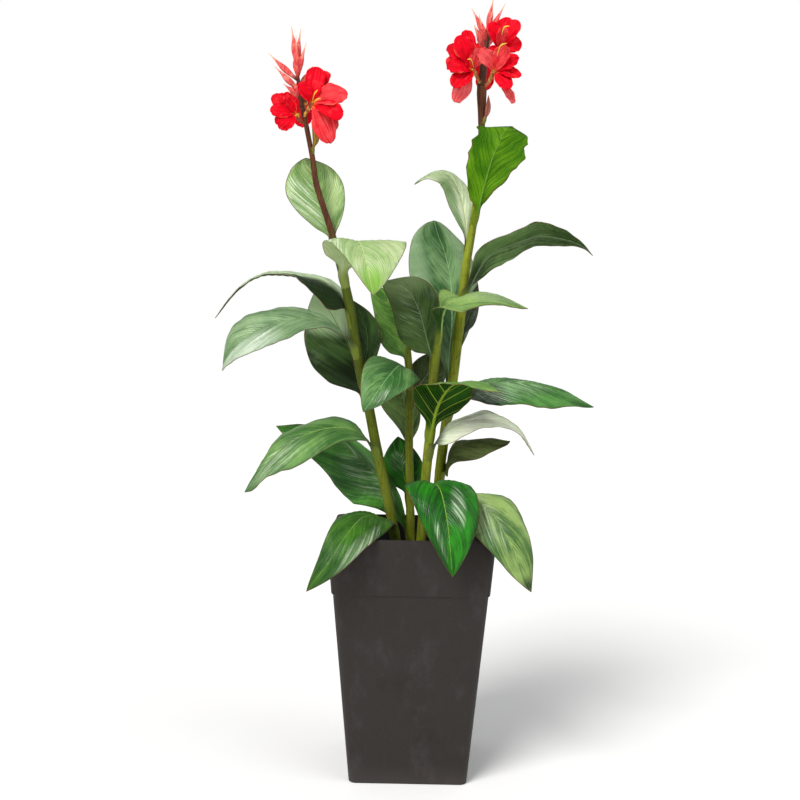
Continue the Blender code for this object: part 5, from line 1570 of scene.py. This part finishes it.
def make_planter():
    rounding = settings().planter.rounding
    inner_top = PLANTER_HALF_TOP - WALL
    inner_floor = PLANTER_HALF_BASE - WALL
    bm = bmesh.new()
    face = rounded_slice(bm, PLANTER_HALF_BASE, CORNER_RADIUS, CORNER_SEGMENTS)
    set_face(face, BAND_BOTTOM - BAND_STEP, PLANTER_HALF_BODY / PLANTER_HALF_BASE)
    face = raise_face(bm, face, BAND_BOTTOM, PLANTER_HALF_BAND / PLANTER_HALF_BODY)
    face = raise_face(bm, face, PLANTER_HEIGHT, PLANTER_HALF_TOP / PLANTER_HALF_BAND)
    face = raise_face(bm, face, PLANTER_HEIGHT, inner_top / PLANTER_HALF_TOP)
    raise_face(bm, face, FLOOR, inner_floor / inner_top)
    round_edges(bm, lambda top: top > BAND_BOTTOM - 0.01, rounding)
    round_edges(bm, lambda top: top < 0.0005, rounding)
    # The inner wall and floor, to be painted near black as shade
    inside = bm.verts.layers.float.new("inside")
    for vert in bm.verts:
        vert[inside] = 1.0 if is_inside(vert.co) else 0.0
    bmesh.ops.recalc_face_normals(bm, faces=bm.faces)
    obj = new_object("planter_shell", bm, [planter_material()])
    obj.data.set_sharp_from_angle(angle=FLAT_ANGLE)
    shown_as(obj, "planter")


def soil_material():
    net = Net("soil_crumb", 0.95)
    here = net.here()
    big = net.noise(here, 60.0, 5.0, 0.7)
    small = net.noise(here, 420.0, 3.0)
    colour = net.mix(net.step(big, 0.35, 0.68), paint("soil_shade"), paint("soil_light"))
    colour = net.mix(net.step(small, 0.60, 0.72) * 0.6, colour, paint("soil_fleck"))
    net.bump(big * 0.7 + small * 0.6, 0.003, 0.9)
    return net.finish(colour, 0.82 + small * 0.15)


def soil_height(x, y):
    """The lumpy surface of the soil, away from the stems."""
    scale = SOIL_LUMPS_PER_METRE
    lump = noise.fractal(Vector((x * scale, y * scale, 3.0)), 1.0, 2.0, 4)
    return SOIL_TOP - SOIL_SINK + SOIL_LUMP * lump


def round_off(x, y, half):
    """Moves a place of a square that is past its rounded corner onto the corner's arc."""
    flat = half - SOIL_CORNER
    over = Vector((max(abs(x) - flat, 0), max(abs(y) - flat, 0)))
    if over.length > SOIL_CORNER:
        over = over.normalized() * SOIL_CORNER
        x, y = math.copysign(flat + over.x, x), math.copysign(flat + over.y, y)
    return x, y


def add_crumbs(bm, half, stems):
    draw = random.Random(CRUMB_SEED)
    for _ in range(settings().planter.crumbs):
        x, y = (draw.uniform(-half, half) * CRUMB_SPREAD for _ in range(2))
        if any(math.hypot(x - c.x, y - c.y) < r + CRUMB_CLEARANCE for c, r in stems):
            continue
        size = draw.uniform(*CRUMB_SIZES)
        z = soil_height(x, y) + size * 0.25
        angle = draw.uniform(0, 3)
        turn = Matrix.Rotation(angle, 4, Vector((draw.uniform(-1, 1), draw.uniform(-1, 1), 1)))
        flatten = Matrix.Diagonal((1, draw.uniform(0.6, 1), 0.7, 1))
        spot = Matrix.Translation((x, y, z)) @ turn @ flatten
        bmesh.ops.create_icosphere(bm, subdivisions=1, radius=size, matrix=spot)


def make_soil():
    """A lumpy surface that rises a little to the stems, on a block that fills the planter."""
    inner_top = PLANTER_HALF_TOP - WALL
    inner_floor = PLANTER_HALF_BASE - WALL
    rise = (SOIL_TOP - FLOOR) / (PLANTER_HEIGHT - FLOOR)
    top = inner_floor + (inner_top - inner_floor) * rise - 3 * SOIL_GAP
    stems = [stem_at(name, SOIL_TOP) for name in STEMS]
    bm = bmesh.new()
    bmesh.ops.create_grid(bm, x_segments=SOIL_CELLS, y_segments=SOIL_CELLS, size=1)
    for vert in bm.verts:
        x, y = round_off(vert.co.x * top, vert.co.y * top, top)
        height = soil_height(x, y)
        for centre, radius in stems:
            away = math.hypot(x - centre.x, y - centre.y)
            height += COLLAR_HEIGHT * math.exp(-(((away - radius) / COLLAR_REACH) ** 2))
        vert.co = Vector((x, y, height))
    rim = [e for e in bm.edges if e.is_boundary]
    made = bmesh.ops.extrude_edge_only(bm, edges=rim)["geom"]
    for vert in (g for g in made if isinstance(g, bmesh.types.BMVert)):
        vert.co.x *= (inner_floor - 2 * SOIL_GAP) / top
        vert.co.y *= (inner_floor - 2 * SOIL_GAP) / top
        vert.co.z = FLOOR + SOIL_GAP
    bmesh.ops.contextual_create(bm, geom=[e for e in bm.edges if e.is_boundary])
    add_crumbs(bm, top, stems)
    bmesh.ops.recalc_face_normals(bm, faces=bm.faces)
    shown_as(new_object("soil_crumbs", bm, [soil_material()]), "soil")


# Stage
def make_floor(stage):
    net = Net("floor_paint", 0.9)
    grain = net.noise(net.here(), 3.0, 2.0)
    pale = tuple(stage.floor) + (1.0,)
    shade = tuple(c * 0.985 for c in stage.floor) + (1.0,)
    bm = bmesh.new()
    bmesh.ops.create_circle(bm, cap_ends=True, radius=FLOOR_RADIUS, segments=64)
    floor = new_object("floor", bm, [net.finish(net.mix(grain, pale, shade))])
    floor.data.transform(Matrix.Translation((0, 0, -FLOOR_DROP)))


def wide_light(name, power):
    """A far soft light that shines from one side on the whole floor alike."""
    towards, spread, colour = LIGHTS[name]
    light = bpy.data.lights.new(name + "_light", "SUN")
    light.energy = power
    light.angle = math.radians(spread)
    light.color = colour
    obj = bpy.data.objects.new(name + "_light", light)
    obj.location = Vector(towards) * 4
    obj.rotation_euler = Vector(towards).to_track_quat("Z", "Y").to_euler()
    bpy.context.scene.collection.objects.link(obj)


def make_room(scene, strength):
    """White all round: as bright as the setting for the plant, and plain white for the camera."""
    world = bpy.data.worlds.new("room")
    world.use_nodes = True
    nodes, links = world.node_tree.nodes, world.node_tree.links
    shade, white = nodes["Background"], nodes.new("ShaderNodeBackground")
    for light, power in ((shade, strength), (white, 1.0)):
        light.inputs["Color"].default_value = (1.0, 1.0, 1.0, 1.0)
        light.inputs["Strength"].default_value = power
    seen = nodes.new("ShaderNodeLightPath")
    either = nodes.new("ShaderNodeMixShader")
    links.new(seen.outputs["Is Camera Ray"], either.inputs[0])
    links.new(shade.outputs[0], either.inputs[1])
    links.new(white.outputs[0], either.inputs[2])
    links.new(either.outputs[0], nodes["World Output"].inputs["Surface"])
    scene.world = world


def make_camera(scene):
    camera = bpy.data.cameras.new("photo_camera")
    camera.lens = CAMERA_LENS
    camera.sensor_width = CAMERA_SENSOR
    camera.clip_start = 0.01
    pitch, yaw, roll = CAMERA_PITCH, CAMERA_YAW, CAMERA_ROLL
    sight = Vector((
        -math.sin(yaw) * math.cos(pitch), math.cos(yaw) * math.cos(pitch), -math.sin(pitch)
    ))
    level = sight.cross(Vector((0, 0, 1))).normalized()
    top = level.cross(sight)
    right = level * math.cos(roll) + top * math.sin(roll)
    up = top * math.cos(roll) - level * math.sin(roll)
    turn = Matrix((right, up, -sight)).transposed().to_4x4()
    eye = bpy.data.objects.new("photo_camera", camera)
    eye.matrix_world = Matrix.Translation(CAMERA_PLACE) @ turn
    scene.collection.objects.link(eye)
    scene.camera = eye


# Operators
class CANNA_OT_stage(bpy.types.Operator):
    """Sets the pale floor, the soft lights and the camera"""

    bl_idname = "canna.stage"
    bl_label = "Stage"

    def execute(self, context):
        stage = settings().stage
        make_floor(stage)
        wide_light("key", stage.key)
        wide_light("fill", stage.fill)
        make_room(context.scene, stage.sky)
        context.scene.view_settings.view_transform = "Standard"
        make_camera(context.scene)
        return {"FINISHED"}


class CANNA_OT_planter(bpy.types.Operator):
    """Makes the tapered planter with its rim band"""

    bl_idname = "canna.planter"
    bl_label = "Planter"

    def execute(self, context):
        make_planter()
        return {"FINISHED"}


class CANNA_OT_soil(bpy.types.Operator):
    """Fills the planter with crumbly soil"""

    bl_idname = "canna.soil"
    bl_label = "Soil"

    def execute(self, context):
        make_soil()
        return {"FINISHED"}


class CANNA_OT_stems(bpy.types.Operator):
    """Grows the four stems with the edges of their leaf sheaths"""

    bl_idname = "canna.stems"
    bl_label = "Stems"

    def execute(self, context):
        look = stem_material()
        for name in STEMS:
            make_stem(name, look)
        return {"FINISHED"}


class CANNA_OT_leaves(bpy.types.Operator):
    """Grows the leaves of every stem"""

    bl_idname = "canna.leaves"
    bl_label = "Leaves"

    def execute(self, context):
        sizes = settings().leaf
        for name in LEAVES:
            if name.startswith("leaf"):
                make_leaf(name, sizes.rows, sizes.columns)
        return {"FINISHED"}


class CANNA_OT_bracts(bpy.types.Operator):
    """Adds the small bract under each flower head"""

    bl_idname = "canna.bracts"
    bl_label = "Bracts"

    def execute(self, context):
        for name in LEAVES:
            if name.startswith("bract"):
                make_leaf(name, BRACT_ROWS, BRACT_COLUMNS)
        return {"FINISHED"}


class CANNA_OT_buds(bpy.types.Operator):
    """Adds the flower axes with their buds"""

    bl_idname = "canna.buds"
    bl_label = "Buds"

    def execute(self, context):
        look = bud_material()
        for name in HEADS:
            make_buds(name, look)
        return {"FINISHED"}


class CANNA_OT_blooms(bpy.types.Operator):
    """Opens the blooms of both flower heads"""

    bl_idname = "canna.blooms"
    bl_label = "Blooms"

    def execute(self, context):
        looks = petal_material(), stamen_material(), cup_material()
        for name in BLOOMS:
            make_bloom(name, *looks)
        return {"FINISHED"}


class CannaSettings(bpy.types.PropertyGroup):
    """All sizes and colours"""

    leaf: PointerProperty(type=LeafSettings, name="Leaves", description="Leaf sizes")
    bloom: PointerProperty(
        type=BloomSettings, name="Blooms", description="Bloom sizes and colours")
    stem: PointerProperty(type=StemSettings, name="Stems", description="Stem colours")
    planter: PointerProperty(
        type=PlanterSettings, name="Planter", description="Planter and soil")
    stage: PointerProperty(type=StageSettings, name="Stage", description="Floor and light")


class CANNA_PT_panel(bpy.types.Panel):
    """Lists the canna's pieces and their settings"""

    bl_label = "Canna Lily"
    bl_idname = "CANNA_PT_panel"
    bl_space_type = "VIEW_3D"
    bl_region_type = "UI"
    bl_category = "Canna"

    def draw(self, context):
        for operator in OPERATORS:
            self.layout.operator(operator.bl_idname)
        for group in ("leaf", "bloom", "stem", "planter", "stage"):
            box = self.layout.box()
            values = getattr(context.scene.canna, group)
            for key in values.__annotations__:
                box.prop(values, key)


OPERATORS = (
    CANNA_OT_stage, CANNA_OT_planter, CANNA_OT_soil, CANNA_OT_stems, CANNA_OT_leaves,
    CANNA_OT_bracts, CANNA_OT_buds, CANNA_OT_blooms,
)
CLASSES = (
    LeafSettings, BloomSettings, StemSettings, PlanterSettings, StageSettings, CannaSettings,
    *OPERATORS, CANNA_PT_panel,
)


def register():
    for cls in CLASSES:
        bpy.utils.register_class(cls)
    bpy.types.Scene.canna = PointerProperty(type=CannaSettings)


def unregister():
    del bpy.types.Scene.canna
    for cls in reversed(CLASSES):
        bpy.utils.unregister_class(cls)


def main():
    register()
    bpy.ops.canna.stage()
    bpy.ops.canna.planter()
    bpy.ops.canna.soil()
    bpy.ops.canna.stems()
    bpy.ops.canna.leaves()
    bpy.ops.canna.bracts()
    bpy.ops.canna.buds()
    bpy.ops.canna.blooms()
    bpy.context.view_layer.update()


if __name__ == "__main__":
    main()
